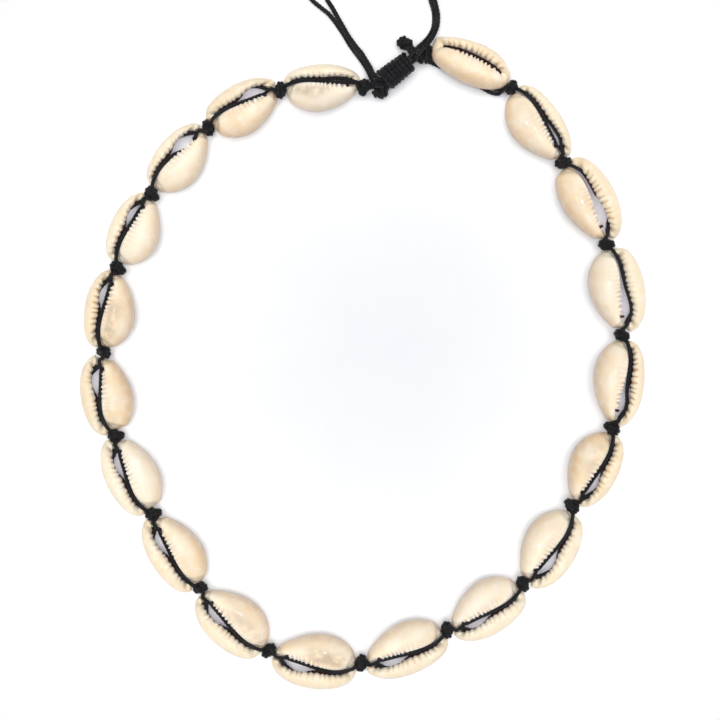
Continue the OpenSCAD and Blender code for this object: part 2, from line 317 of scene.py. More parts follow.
def cord_finish():
    s = Shader("waxed_cord")
    x, y, along = s.parts("lay")
    turn = s.add("ShaderNodeMath", {"operation": "ARCTAN2"}, {0: y, 1: x}) * PLAITS
    rise = along * (math.tau / PLAIT_LENGTH)
    right = s.add("ShaderNodeMath", {"operation": "SINE"}, {0: turn + rise})
    left = s.add("ShaderNodeMath", {"operation": "SINE"}, {0: turn - rise})
    plait = right * left * 0.5 + 0.5
    place = s.add("ShaderNodeTexCoord", {}, {}, output=3)
    fibre = s.noise(place, 5200, 3, 0.65)
    worn = s.noise(place, 420, 2)
    black = s.mix(s.ramp(worn, 0.35, 0.7), colour(7, 7, 9), colour(16, 14, 15))
    # Painted highlight: a lighter grey on the crowns of the plaits, the gaps between them left black
    tint = s.mix(s.ramp(fibre * plait, 0.22, 0.5), black, colour(38, 36, 39))
    rough = 0.62 - s.ramp(worn, 0.4, 0.7) * 0.14 + fibre * 0.12
    plaited = s.bump(plait, 0.00012, 0.7)
    return s.finish(
        Base_Color=tint,
        Roughness=rough,
        Normal=s.bump(fibre, 0.00006, 0.8, plaited),
        Specular_IOR_Level=0.35,
        Sheen_Weight=0.12,
        Sheen_Roughness=0.4,
        Sheen_Tint=colour(150, 150, 165),
    )


cord_black = cord_finish()
print("nodes in the cord's finish:", len(cord_black.node_tree.nodes))

# %% [markdown]
# ## A tube with a braid's relief
#
# A strand is a tube swept along its route. A curve with a round bevel would be quicker, but it
# can't carry a braid's relief. The tube's rings must not spin as the route bends, so each ring
# starts from the one before and is only turned by the bend (a parallel frame). The plaits lift and
# sink the surface by less than a tenth of a millimetre, as they do on the real cord, and each end
# is closed by a small round cap.

# %% Directions across a path
def parallel_frames(path):
    """Two directions across the path at each point, which turn no more than its bends."""
    ahead = np.gradient(path, axis=0)
    ahead /= np.linalg.norm(ahead, axis=1)[:, None]
    start = np.array([0, 0, 1.0]) if abs(ahead[0, 2]) < 0.9 else np.array([1.0, 0, 0])
    side = np.cross(ahead[0], start)
    sides = []
    for direction in ahead:
        side = side - direction * (side @ direction)
        side = side / np.linalg.norm(side)
        sides.append(side)
    sides = np.array(sides)
    return sides, np.cross(ahead, sides), ahead


# %% Sweep a strand
CORD_D = 1.0
RING_STEP = 0.16
RING_SIDES = 16
PLAIT_RELIEF = 0.17
CAP_RINGS = 3
CAP_REACH = 0.3
CAP_CLOSED = 0.97


def strand_tube(path, diameter):
    """Points, faces and marks of a braided tube with round ends along a path."""
    thick_path = even_steps(np.column_stack([path, np.broadcast_to(diameter, len(path))]), RING_STEP)
    path, thick = thick_path[:, :3], thick_path[:, 3]
    across, up, ahead = parallel_frames(path)
    cap = np.arange(1, CAP_RINGS + 1) / CAP_RINGS * math.pi / 2
    reach = np.sin(cap)
    narrow = np.cos(cap * CAP_CLOSED)
    order = np.pad(np.arange(len(path)), CAP_RINGS, mode="edge")
    scale = np.concatenate([narrow[::-1], np.ones(len(path)), narrow])
    push = np.concatenate([-reach[::-1], np.zeros(len(path)), reach]) * thick[order] * CAP_REACH
    turn = np.arange(RING_SIDES)[None] * math.tau / RING_SIDES
    travelled = (distances(path)[order] + push)[:, None]
    wave = math.tau / PLAIT_LENGTH * travelled
    relief = 1 + PLAIT_RELIEF * np.sin(PLAITS / 2 * turn + wave) * np.sin(PLAITS / 2 * turn - wave)
    radius = (thick[order] * scale / 2)[:, None] * relief
    centre = path[order] + ahead[order] * push[:, None]
    points = (
        centre[:, None]
        + across[order][:, None] * (np.cos(turn) * radius)[:, :, None]
        + up[order][:, None] * (np.sin(turn) * radius)[:, :, None]
    )
    # The table presses a cord that lies on it a little flat
    points[:, :, 2] = np.maximum(points[:, :, 2], 0)
    lay = np.stack(np.broadcast_arrays(np.cos(turn), np.sin(turn), travelled), axis=2)
    faces = grid_faces(len(order), RING_SIDES)[:, ::-1].tolist()
    last_ring = (len(order) - 1) * RING_SIDES
    faces += [list(range(RING_SIDES))[::-1], list(range(last_ring, last_ring + RING_SIDES))]
    return points.reshape(-1, 3), faces, lay.reshape(-1, 3)


def add_cord(name, tubes, stands_for):
    """One piece of several tubes."""
    points, faces, lays = [], [], []
    count = 0
    for tube_points, tube_faces, lay in tubes:
        faces += [[k + count for k in face] for face in tube_faces]
        points.append(tube_points)
        lays.append(lay)
        count += len(tube_points)
    marks = {"lay": np.vstack(lays)}
    return add_piece(name, np.vstack(points), faces, marks, cord_black, stands_for)


# %% [markdown]
# ## The four tails
#
# The choker opens and closes by pulling on its tails, two on each side of the sliding knot. They
# are limp cords that come out of the knot, drop to the table and leave the picture at its top edge.
# Their routes are the frame's own, repeated point by point, and a smooth curve joins the points.

# %% Routes of the tails
TAIL_ROUTES = {"tail_left_a": [
    [7.9, 63.8, 3.3], [6.5, 62.7, 3.3], [5.0, 61.6, 3.3], [4.4, 61.2, 3.6], [3.7, 60.8, 4.0],
    [2.9, 60.9, 3.9], [2.4, 61.5, 3.5], [1.9, 62.3, 2.8], [1.5, 63.3, 2.1], [1.0, 64.4, 1.5],
    [0.3, 65.6, 0.9], [-0.5, 66.8, 0.5], [-1.5, 68.1, 0.5], [-2.8, 69.9, 0.5], [-4.0, 71.9, 0.5],
    [-5.1, 73.6, 0.5], [-6.3, 75.3, 0.5], [-7.6, 76.9, 0.5], [-9.2, 78.2, 0.5], [-11.0, 79.7, 0.5],
    [-12.6, 81.5, 0.5], [-13.8, 83.6, 0.5], [-14.6, 85.8, 0.9], [-15.0, 87.6, 1.3],
], "tail_left_b": [
    [6.5, 64.2, 3.3], [5.7, 63.6, 3.3], [4.3, 62.5, 3.3], [3.7, 62.1, 3.5], [3.1, 62.4, 3.7],
    [2.6, 63.1, 3.5], [2.1, 63.7, 2.9], [1.7, 64.7, 2.3], [1.1, 65.8, 1.7], [0.5, 66.8, 1.4],
    [-0.3, 68.1, 1.2], [-1.4, 69.4, 1.4], [-2.4, 70.7, 1.6], [-3.3, 72.0, 1.7], [-4.0, 73.2, 1.6],
    [-4.9, 74.8, 1.4], [-5.8, 76.4, 1.1], [-6.6, 77.9, 0.8], [-7.6, 79.5, 0.5], [-8.6, 81.4, 0.5],
    [-9.4, 83.4, 0.5], [-9.9, 85.2, 0.8], [-10.2, 87.0, 1.3],
], "tail_right_a": [
    [6.6, 64.3, 3.3], [8.8, 66.0, 3.3], [10.2, 67.1, 3.3], [11.1, 68.3, 3.3], [12.2, 69.4, 3.1],
    [13.4, 70.5, 2.5], [14.3, 71.5, 1.7], [15.0, 72.6, 0.9], [15.5, 73.8, 0.5], [15.7, 75.2, 0.5],
    [15.7, 76.6, 0.5], [15.5, 77.9, 0.5], [15.0, 79.6, 0.5], [14.4, 82.0, 0.5], [13.9, 84.4, 0.5],
    [13.5, 86.8, 0.5], [13.3, 88.9, 0.8], [13.3, 90.8, 1.4],
], "tail_right_b": [
    [8.0, 63.9, 3.3], [9.5, 65.1, 3.3], [10.9, 66.2, 3.3], [11.9, 67.2, 4.0], [12.7, 68.3, 4.3],
    [13.6, 69.3, 4.2], [14.4, 70.3, 3.5], [15.2, 71.4, 2.5], [15.8, 72.6, 1.7], [16.3, 73.9, 1.4],
    [16.5, 75.3, 1.4], [16.5, 76.7, 1.4], [16.2, 78.2, 1.4], [15.8, 79.8, 1.4], [15.4, 82.2, 1.1],
    [15.0, 84.5, 0.8], [14.7, 86.8, 0.5], [14.5, 88.9, 0.8], [14.5, 90.8, 1.4],
]}

# %% Lay the tails
tails = {}
for name, route in TAIL_ROUTES.items():
    path = curve_through(route)
    piece = add_cord("braided_" + name, [strand_tube(path, CORD_D)], name)
    tails[name] = (piece, path)
    print(name, "%.1f mm" % distances(path)[-1])

# %% [markdown]
# ## Tying a knot
#
# An overhand knot drawn by hand looks wrong from every side but one. This one is tied the way a
# hand ties it: the strands start as a loose open knot, their ends are pulled apart, and each small
# part of the cord pushes away whatever comes closer than its thickness. Pulling goes on until the
# cord has no slack left. The doubled cord is two such strands, side by side, in the same loop.


# %% A loose overhand knot
def smooth(value, low, high):
    """0 up to low, 1 from high on, and smooth between them."""
    t = np.clip((value - low) / (high - low), 0, 1)
    return t * t * (3 - 2 * t)


def loose_knot(count):
    """The middle line of a loose overhand knot whose ends run out along X."""
    t = np.linspace(-2.3, 2.3, 3000)
    # Three polynomials of t cross over as a knot does, and flatten out to a line at both ends
    inner = 1 - smooth(abs(t), 1.75, 2.15)
    x = (t**5 - 10 * t) * 0.15
    y = (t**3 - 3 * t) * 1.1 * inner
    z = (t**4 - 4 * t**2 + 2) * 0.8 * inner
    line = np.stack([x, y, z], axis=1)
    return even_steps(line, distances(line)[-1] / (count - 1))


# %% Pull it tight
KNOT_THICK = 0.8
KNOT_LINKS = 80
ROUNDS = 720
PULL = 0.06
LENGTH_PASSES = 6
PUSH_PASSES = 2
STRAIGHTEN = 0.2
PUSH_SHARE = 0.7
# The ends are pulled on only while the cord is stretched less than this
TAUT = 1.03


def tie(strands):
    """The tightened paths of one or two strands in an overhand knot along X."""
    core = loose_knot(KNOT_LINKS)
    across, _, _ = parallel_frames(core)
    shifts = [0] if strands == 1 else [-KNOT_THICK / 2, KNOT_THICK / 2]
    p = np.stack([core + across * shift for shift in shifts])
    link = distances(core)[-1] / (KNOT_LINKS - 1)
    index = np.arange(KNOT_LINKS * strands)
    same = index[:, None] // KNOT_LINKS == index[None, :] // KNOT_LINKS
    near = same & (abs(index[:, None] - index[None, :]) * link < KNOT_THICK * 1.5)
    ends = p[:, [0, -1]].copy()
    outward = np.array([[-PULL, 0, 0], [PULL, 0, 0]])
    for _ in range(ROUNDS):
        for _ in range(LENGTH_PASSES):
            gap = np.diff(p, axis=1)
            length = np.linalg.norm(gap, axis=2, keepdims=True)
            fix = gap * (0.5 * (length - link) / length)
            p[:, :-1] += fix
            p[:, 1:] -= fix
            p[:, 0], p[:, -1] = ends[:, 0], ends[:, 1]
        p[:, 1:-1] += STRAIGHTEN * (0.5 * (p[:, :-2] + p[:, 2:]) - p[:, 1:-1])
        for _ in range(PUSH_PASSES):
            q = p.reshape(-1, 3)
            apart = q[:, None] - q[None, :]
            far = np.linalg.norm(apart, axis=2) + np.eye(len(q))
            push = np.where((far < KNOT_THICK) & ~near, (KNOT_THICK - far) * 0.5 / far, 0)
            p = (q + (apart * push[:, :, None]).sum(1) * PUSH_SHARE).reshape(p.shape)
        stretch = np.linalg.norm(np.diff(p, axis=1), axis=2).mean() / link
        if stretch < TAUT:
            ends = ends + outward
    return p


def knot_body(paths, half_length):
    """The part of a knot's strands within a distance along X of its middle."""
    made = []
    for path in paths:
        fine = curve_through(path, 4)
        inside = np.nonzero(abs(fine[:, 0]) < half_length)[0]
        made.append(fine[inside[0]:inside[-1] + 1])
    return made


WHOLE_KNOT_HALF = 1.9
single_knot, double_knot = tie(1), tie(2)
single_body, double_body = (knot_body(knot, WHOLE_KNOT_HALF) for knot in (single_knot, double_knot))
print("doubled knot:", (np.ptp(np.vstack(double_body), axis=0) + KNOT_THICK).round(2), "mm")

# %% [markdown]
# ## Where the shells and knots are
#
# The knots' places are the cord's own route, repeated from the frame. Each shell fills the room
# between two knots, with its narrow end to the knot of the lower number. The widths of each shell
# and of its slit are the frame's too.

# %% Knots
KNOTS = np.array([
    [0.2, 60.5], [-18.2, 59.9], [-34.1, 51.6], [-46.3, 37.1], [-53.9, 20.8], [-57.1, 2.2],
    [-54.3, -16.0], [-46.1, -33.2], [-35.8, -49.7], [-20.7, -63.4], [-0.4, -66.1], [18.5, -58.8],
    [35.2, -48.7], [45.9, -31.6], [54.7, -14.5], [57.0, 6.1], [53.6, 26.0], [44.0, 44.0],
    [32.6, 60.6], [13.2, 67.6],
])
# The last shell, counted from 0, and its two ends
LAST = 18
LAST_BROAD = np.array([14.7, 69.4])
LAST_NARROW = np.array([32.8, 62.4])
print("knots on the loop:", len(KNOTS))

# %% Sizes of the shells
# Columns: width inside the loop, width outside it, width of the slit, how much longer than its room
# the shell is, how far it sits toward its narrow end and how far out its slit bows
SHELLS = [
    (4.8, 5.5, 1.4, 0, 0, 2.2),
    (5.2, 5.8, 1.9, 0.8, 0.2, 2.1),
    (5.0, 5.6, 1.7, -0.4, 0.4, 2.6),
    (5.5, 5.6, 1.6, 0, 0.2, 2.2),
    (5.3, 5.8, 1.6, 0, 0, 2.2),
    (4.8, 6.5, 1.8, 1.1, 0, 2.8),
    (5.0, 6.6, 1.6, 1, 0.3, 2.6),
    (5.2, 6.3, 1.6, 0.8, 0.1, 2.1),
    (5.4, 6.8, 1.6, -0.5, 0, 2.4),
    (5.0, 7.1, 1.8, -0.2, 0, 3.0),
    (4.9, 6.4, 1.6, 0.3, 0.1, 2.3),
    (5.3, 6.4, 1.5, -0.1, 0, 2.1),
    (5.2, 6.8, 1.8, -0.2, 0.6, 2.6),
    (5.0, 6.0, 1.5, -0.4, 0.1, 2.3),
    (5.0, 6.1, 1.6, -0.2, 0.2, 2.7),
    (5.3, 6.8, 1.8, 0.2, 0.4, 2.3),
    (4.6, 7.1, 1.5, 1.2, -0.1, 2.7),
    (5.6, 5.5, 1.5, 0.1, 0.2, 2.4),
    (5.5, 4.2, 1.2, 0, 0, 1.0),
]
KNOT_ROOM = 1.6
CANAL_W = 1.08
# How far out the canal is at the broad and at the narrow end
CANAL_ENDS = (0.1, 1.2)
# The last shell is slimmer and its slit nearly closed
LAST_CANAL_W = 0.5
LAST_CANAL_ENDS = (0.9, -0.5)
LAST_SLIT = 0.72
LAST_LONGER = 0.8
LAST_NARROWER = 0.5


# %% Where each shell lies
class Place:
    """The sizes of shell i and the line on which it lies, from its broad end to its narrow end."""

    def __init__(self, i):
        self.is_last = i == LAST
        self.inner_w, self.outer_w, self.slit, self.longer, self.shift, self.bow = SHELLS[i]
        self.canal, self.canal_ends = CANAL_W, CANAL_ENDS
        if self.is_last:
            self.inner_w, self.longer = self.inner_w - LAST_NARROWER, LAST_LONGER
            self.slit, self.canal, self.canal_ends = LAST_SLIT, LAST_CANAL_W, LAST_CANAL_ENDS
            self.broad, self.narrow = LAST_BROAD, LAST_NARROW
        else:
            self.broad, self.narrow = KNOTS[i + 1], KNOTS[i]
        self.chord = np.linalg.norm(self.narrow - self.broad)
        self.ahead = (self.narrow - self.broad) / self.chord
        self.out = np.array([-self.ahead[1], self.ahead[0]])
        self.middle = (self.narrow + self.broad) / 2

    def world(self, points):
        """Points along, out and up from the line's middle, put where they are on the table."""
        points = np.asarray(points, float)
        flat = self.middle + points[..., :1] * self.ahead + points[..., 1:2] * self.out
        return np.concatenate([flat, points[..., 2:]], axis=-1)


places = [Place(i) for i in range(LAST + 1)]
print("the shells' lines add up to %.0f mm" % sum(p.chord for p in places))

# %% [markdown]
# ## The slit
#
# The mouth of a cowrie is a long slit that bows toward the outer lip. The bow is fullest nearer the
# broad end, and the slit is widest nearer the narrow end, where the two lips part before they close
# on the canal, the low channel at each end in which the cord lies. Short formulas of the share of
# the way from the broad knot to the narrow one tell all of this, so that the shell and the strands
# in it use the same lines.

# %% The slit's two edges
STRAND_D = 0.8
KNOT_STRAND_D = 0.9
SLIT_MARGIN = 1.9
BOW_POWER = 2.2
BOW_LESS = 0.15
WIDTH_GAIN = 1.4
WIDEST_AT = 0.74
# How quickly the slit narrows from there to the broad and to the narrow end
WIDTH_REACH = (0.16, 0.1)
LAST_WIDEST_AT = 0.55
LAST_WIDTH_REACH = 0.26


def share_along(place, x):
    """The share of the way from the broad end to the narrow one, from 0 to 1."""
    return np.clip(np.asarray(x, float) / place.chord + 0.5, 0, 1)


def canal_line(place, f):
    """How far out the middle of the canal would be at that share of the way."""
    broad, narrow = place.canal_ends
    return broad + (narrow - broad) * f


def inner_edge(place, x):
    """How far out the columella's edge of the slit is."""
    f = share_along(place, x)
    shape = f * (1 - f) ** BOW_POWER
    peak = BOW_POWER**BOW_POWER / (1 + BOW_POWER) ** (1 + BOW_POWER)
    line = canal_line(place, f)
    return line - place.canal / 2 + (place.bow - BOW_LESS - line) * shape / peak


def slit_width(place, x):
    """How wide the slit is, from the columella's edge to the outer lip's."""
    f = share_along(place, x)
    widest, reach = WIDEST_AT, np.where(f < WIDEST_AT, *WIDTH_REACH)
    if place.is_last:
        widest, reach = LAST_WIDEST_AT, LAST_WIDTH_REACH
    gain = np.exp(-0.5 * ((f - widest) / reach) ** 2)
    return place.canal + (place.slit * WIDTH_GAIN - place.canal) * gain


half = places[0].chord / 2
print("slit of shell 1 at its widest: %.1f mm" % slit_width(places[0], np.linspace(-half, half, 99)).max())

# %% [markdown]
# ## The shell's outline and section
#
# Seen from above the outline is full on the side of the outer lip, and on the columella's side it
# draws in to a beak at the narrow end. Each section of the wall starts at the saw cut, bulges out
# over the margin, climbs to the crown and rolls over into the slit. Inside it follows the same way
# back at the thickness of the wall. The two sides have their own crowns: the columella is a broad
# dome and the outer lip a narrow roll. Nineteen shells modelled by hand would drift apart, so one
# outline and two sections, with each shell's own sizes, make them all.

# %% Outline
OUTER_POWER = 0.65
INNER_POWER = 1.45
END_POWER = 0.08
BEAK_THIN = 0.25
LAST_OUTER_POWER = 0.95
LAST_OUTER_END_POWER = 0.3
LAST_INNER_POWER = 0.8
LAST_BEAK_THIN = -0.12
LAST_DENT = 0.15
# How deep each end draws in where the canal runs out of it, and how wide that dent is
DENT = 0.55
DENT_REACH = 1.5
REACH_GAIN = 0.5
BROAD_REACH_MORE = 0.9
NARROW_DENT_OUT = 0.8


def outline(i, u):
    """The outline of shell i at angle u from its narrow end, over the outer side."""
    place = places[i]
    outer_power, end_power, inner_power, beak_thin = OUTER_POWER, END_POWER, INNER_POWER, BEAK_THIN
    depth = DENT + place.longer / 2
    if place.is_last:
        outer_power, end_power = LAST_OUTER_POWER, LAST_OUTER_END_POWER
        inner_power, beak_thin = LAST_INNER_POWER, LAST_BEAK_THIN
        depth = LAST_DENT
    half_length = (place.chord - KNOT_ROOM + place.longer) / 2
    sine, cosine = np.sin(u), np.cos(u)
    size = np.maximum(abs(sine), 1e-4)
    outer = place.outer_w * size ** (outer_power + end_power * cosine)
    inner = -place.inner_w * size ** (inner_power + END_POWER * cosine) * (1 - beak_thin * cosine)
    y = np.where(sine > 0, outer, inner)
    end = np.sign(cosine)
    depth = np.maximum(depth + end * place.shift, 0.1)
    reach = DENT_REACH + REACH_GAIN * np.maximum(depth - DENT, 0)
    reach += np.where((sine < 0) & (cosine < 0), BROAD_REACH_MORE, 0)
    beyond_canal = np.where((sine > 0) & (cosine > 0), NARROW_DENT_OUT, 0)
    inward = depth * np.maximum(0, 1 - ((y + beyond_canal) / reach) ** 2)
    return np.stack([cosine * half_length + place.shift - end * inward, y], axis=1)


all_round = np.linspace(0, math.tau, 200)
print("shell 1 is %.1f mm long and %.1f mm wide" % tuple(np.ptp(outline(0, all_round), axis=0)))

# %% Sections
SHELL_H = 5.4
WALL = 1.2
CANAL_FLOOR = 1.3

# Columns: share of the way from the slit to the outline, walls taken off that, share of the height
DOME = [
    (0.9, 0, 0), (0.97, 0, 0.11), (1, 0, 0.24), (1, 0, 0.36), (0.98, 0, 0.51), (0.92, 0, 0.67),
    (0.82, 0, 0.8), (0.69, 0, 0.9), (0.55, 0, 0.965), (0.4, 0, 0.995), (0.26, 0, 0.985),
    (0.14, 0, 0.95), (0.05, 0, 0.89), (0.01, 0, 0.83), (0, 0, 0.76),
]
ROLL = [
    (0.9, 0, 0), (0.97, 0, 0.11), (1, 0, 0.23), (1, 0, 0.34), (0.985, 0, 0.49), (0.93, 0, 0.64),
    (0.84, 0, 0.77), (0.72, 0, 0.87), (0.59, 0, 0.94), (0.45, 0, 0.98), (0.31, 0, 0.985),
    (0.18, 0, 0.95), (0.07, 0, 0.885), (0.015, 0, 0.81), (0, 0, 0.73),
]
HOLLOW = [
    (0.02, 0.02, 0.69), (0.08, 0.08, 0.665), (0.22, 0.22, 0.68), (0.45, 0.45, 0.695),
    (0.68, 0.68, 0.66), (0.86, 0.86, 0.55), (0.97, 1, 0.36), (0.99, 1, 0.18), (0.88, 1, 0),
]
PER_SPAN = 2
EDGE_ROW = (len(DOME) - 1) * PER_SPAN


def section_rows(crown):
    """A finer list of the wall's rows, from the saw cut over the crown and back inside."""
    return curve_through(crown + HOLLOW, PER_SPAN)


dome_rows = section_rows(DOME)
roll_rows = section_rows(ROLL)
print("points round a section:", len(dome_rows))

# %% [markdown]
# ## Columns of a shell
#
# The mesh of a shell is a ring of columns, each one a section of the wall. The columns of the outer
# side and of the inner side stand at even steps along the outline. Between them, at both ends, a few
# columns lie low and make the floor of the canal, and a few more climb its two walls. The crown
# falls toward both ends, so that the ends are round when they are seen from the side.

# %% Columns
OUTER_COLUMNS = 138
INNER_COLUMNS = 96
FLOOR_COLUMNS = 5
CLIMB = np.array([0.12, 0.4, 0.72, 0.92])
LAST_FLOOR = 2.2
ROLL_HEIGHT = 0.96
END_FALL = 0.42
END_DROP = 0.13
# At the rim the canal runs out less far to the outer side than at the slit
RIM_CANAL = 0.65


def side_angles(i, start, count):
    """Angles over half a turn whose outline points are evenly spaced."""
    fine = start + np.linspace(0.012, math.pi - 0.012, 1500)
    path = outline(i, fine)
    along = distances(path)
    return np.interp(np.linspace(0, along[-1], count), along, fine)


def column(i, u, side):
    """A section at angle u: its slit point, its rim point, its height and its side."""
    place = places[i]
    inner_w, outer_w = SHELLS[i][:2]
    end = abs(math.cos(u))
    x = math.cos(u) * ((place.chord - KNOT_ROOM) / 2 - SLIT_MARGIN)
    slit_y = inner_edge(place, x)
    rim_x, rim_y = outline(i, np.array([u]))[0]
    canal = canal_line(place, 0.5 + 0.5 * math.cos(u))
    if canal > 0 and not place.is_last:
        canal *= RIM_CANAL
    low, high = (canal + half * place.canal / 2 for half in (-1, 1))
    height = SHELL_H * (1 - END_FALL * end**2.6 - END_DROP * smooth(end, 0.88, 1))
    if side > 0:
        high *= end**6
        slit_y += slit_width(place, x)
        rim_y = high + max(rim_y, 0) * (1 - high / outer_w)
        height *= ROLL_HEIGHT
    else:
        low *= end**6
        rim_y = low + min(rim_y, 0) * (1 + low / inner_w)
    return np.array([x, slit_y, rim_x, rim_y, height, side])


def shell_columns(i):
    """All the columns of a shell, round from its narrow end over the outer side."""
    outer = [column(i, u, 1) for u in side_angles(i, 0, OUTER_COLUMNS)]
    inner = [column(i, u, -1) for u in side_angles(i, math.pi, INNER_COLUMNS)]
    floor = LAST_FLOOR if i == LAST else CANAL_FLOOR
    made = []
    for half, next_half in ((outer, inner), (inner, outer)):
        here, there = half[-1], next_half[0]
        low_here, low_there = here.copy(), there.copy()
        low_here[4] = low_there[4] = floor
        made += half
        made += [low_here + (here - low_here) * t for t in CLIMB[::-1]]
        made += [low_here + (low_there - low_here) * t for t in np.linspace(0, 1, FLOOR_COLUMNS)]
        made += [low_there + (there - low_there) * t for t in CLIMB]
    return np.array(made)


print("columns of a shell:", len(shell_columns(0)))

# %% [markdown]
# ## Teeth
#
# Both lips carry teeth. On the outer lip they are ridges that run a third of the way out, with grooves
# between them that are darkened partly by a tan stain and partly by painted shade. On the columella
# only the narrow half has them, small and white, and they stop at the notch where the canal begins;
# fainter grooves farther out on the dome are only painted shade. A bump in the material would leave
# the edge of the slit straight. Here the ridges are lifted and the grooves sunk along the surface's
# own normals, so they wrap over the edge and scallop the slit as real teeth do.

# %% Teeth
LIP_TOOTH = 1.2
LIP_GROOVE = 0.17
LIP_TIP = 0.06
COLUMELLA_TOOTH = 0.95
COLUMELLA_GROOVE = 0.3
COLUMELLA_TIP = 0.28
# Rows of points on the outside that the teeth may reach
TOOTH_ROWS = 20
NOTCH_AT = 0.8


def teeth(i, columns, rows, phase):
    """How far each point is lifted, how deep in a groove it is, and painted shade for faint grooves farther
    out.
    """
    x, side = columns[:, 0], columns[:, 5]
    f = share_along(places[i], x)
    # No two teeth are quite the same width, and no two shells have theirs in the same places
    wobble = 0.16 * np.sin(x * 0.9 + phase) + 0.1 * np.sin(x * 2.3 + phase * 2)
    lip_wave = np.cos(math.tau * (x / LIP_TOOTH + wobble + phase * 0.37))
    col_wave = np.cos(math.tau * (x / COLUMELLA_TOOTH + wobble + phase * 0.61))
    lip_groove = (1 - (0.5 + 0.5 * lip_wave) ** 0.6)[:, None]
    col_groove = (1 - (0.5 + 0.5 * col_wave) ** 0.9)[:, None]

    level = np.arange(len(rows))
    share = rows[:, 0]
    outside = (level > EDGE_ROW - TOOTH_ROWS) & (level <= EDGE_ROW)
    inside = (level > EDGE_ROW) & (level < EDGE_ROW + 3 * PER_SPAN)
    lip_fade = outside * (1 - smooth(share, 0.22, 0.72)) + inside * 0.8
    col_fade = outside * (1 - smooth(share, 0.02, 0.2)) + inside * 0.7
    faint_fade = outside * (1 - smooth(share, 0.1, 0.42))

    first = 0.2 if i == LAST else 0.38
    before_notch = 1 - smooth(f, NOTCH_AT - 0.02, NOTCH_AT + 0.02)
    on_lip = (side > 0.5) * smooth(f, 0.08, 0.2) * (1 - smooth(f, 0.86, 0.93))
    on_col = (side < -0.5) * smooth(f, first, first + 0.2) * before_notch
    # The faint grooves get no relief: they are only painted shade in the enamel
    faint = (side < -0.5) * smooth(f, 0.2, 0.4) * (1 - smooth(f, NOTCH_AT - 0.02, NOTCH_AT))
    lip = on_lip[:, None] * lip_fade
    col = on_col[:, None] * col_fade
    lip_lift = LIP_TIP - (LIP_TIP + LIP_GROOVE) * lip_groove
    col_lift = COLUMELLA_TIP - (COLUMELLA_TIP + COLUMELLA_GROOVE) * col_groove
    lift = lip * (1.6 - smooth(share, 0, 0.12)) * lip_lift + col * col_lift
    depth = np.clip(lip**1.6 * lip_groove + 0.6 * col * col_groove, 0, 1)
    return lift, depth, faint[:, None] * faint_fade * col_groove


# %% [markdown]
# ## The shells' finish
#
# A cowrie's enamel is ivory, peach toward the margins and white on the teeth, under a hard natural
# gloss. The colours change slowly over the shell, so they are mixed from marks that each point
# carries: how deep in a groove it is, how near the slit and the margin, and whether it is in the
# hollow. Soft noise breaks up each mix. The peach on the columella's side is deepened as painted
# shade, and the grooves are darkened partly by a tan stain and partly by painted shade. A little
# light goes into the shell and comes out again. The hollow is tinted lilac as painted shade and has
# a painted glow that stands in for daylight soaking through the thin wall, and the ledge inside the
# slit is painted dark brown as shade. Every shell has its own share of warmth, of tan in its grooves
# and of grey on its dome.

# %% Cowrie enamel
IVORY = colour(244, 231, 211)
SAND = colour(240, 215, 178)
# Peach of the margins, darkened as painted shade where the dome falls away on the columella's side
PEACH_AND_SHADE = colour(229, 196, 157)
WHITE = colour(250, 246, 239)
LIP_CREAM = colour(241, 225, 199)
LIP_TAN = colour(231, 210, 177)
GROOVE_TAN = colour(200, 166, 122)
# Lilac painted as shade in the grooves between the teeth and in the faint grooves
LILAC_GROOVE_SHADE = colour(208, 188, 178)
GREY_PATCH = colour(190, 170, 141)
HOLLOW_GREY = colour(240, 230, 238)
# Dark brown painted as shade on the ledge inside the slit and on the notch's walls
LEDGE_SHADE_BROWN = colour(44, 22, 17)
# Strength of the hollow's painted glow, which stands in for daylight through the thin wall
PAINTED_HOLLOW_GLOW = 0.22


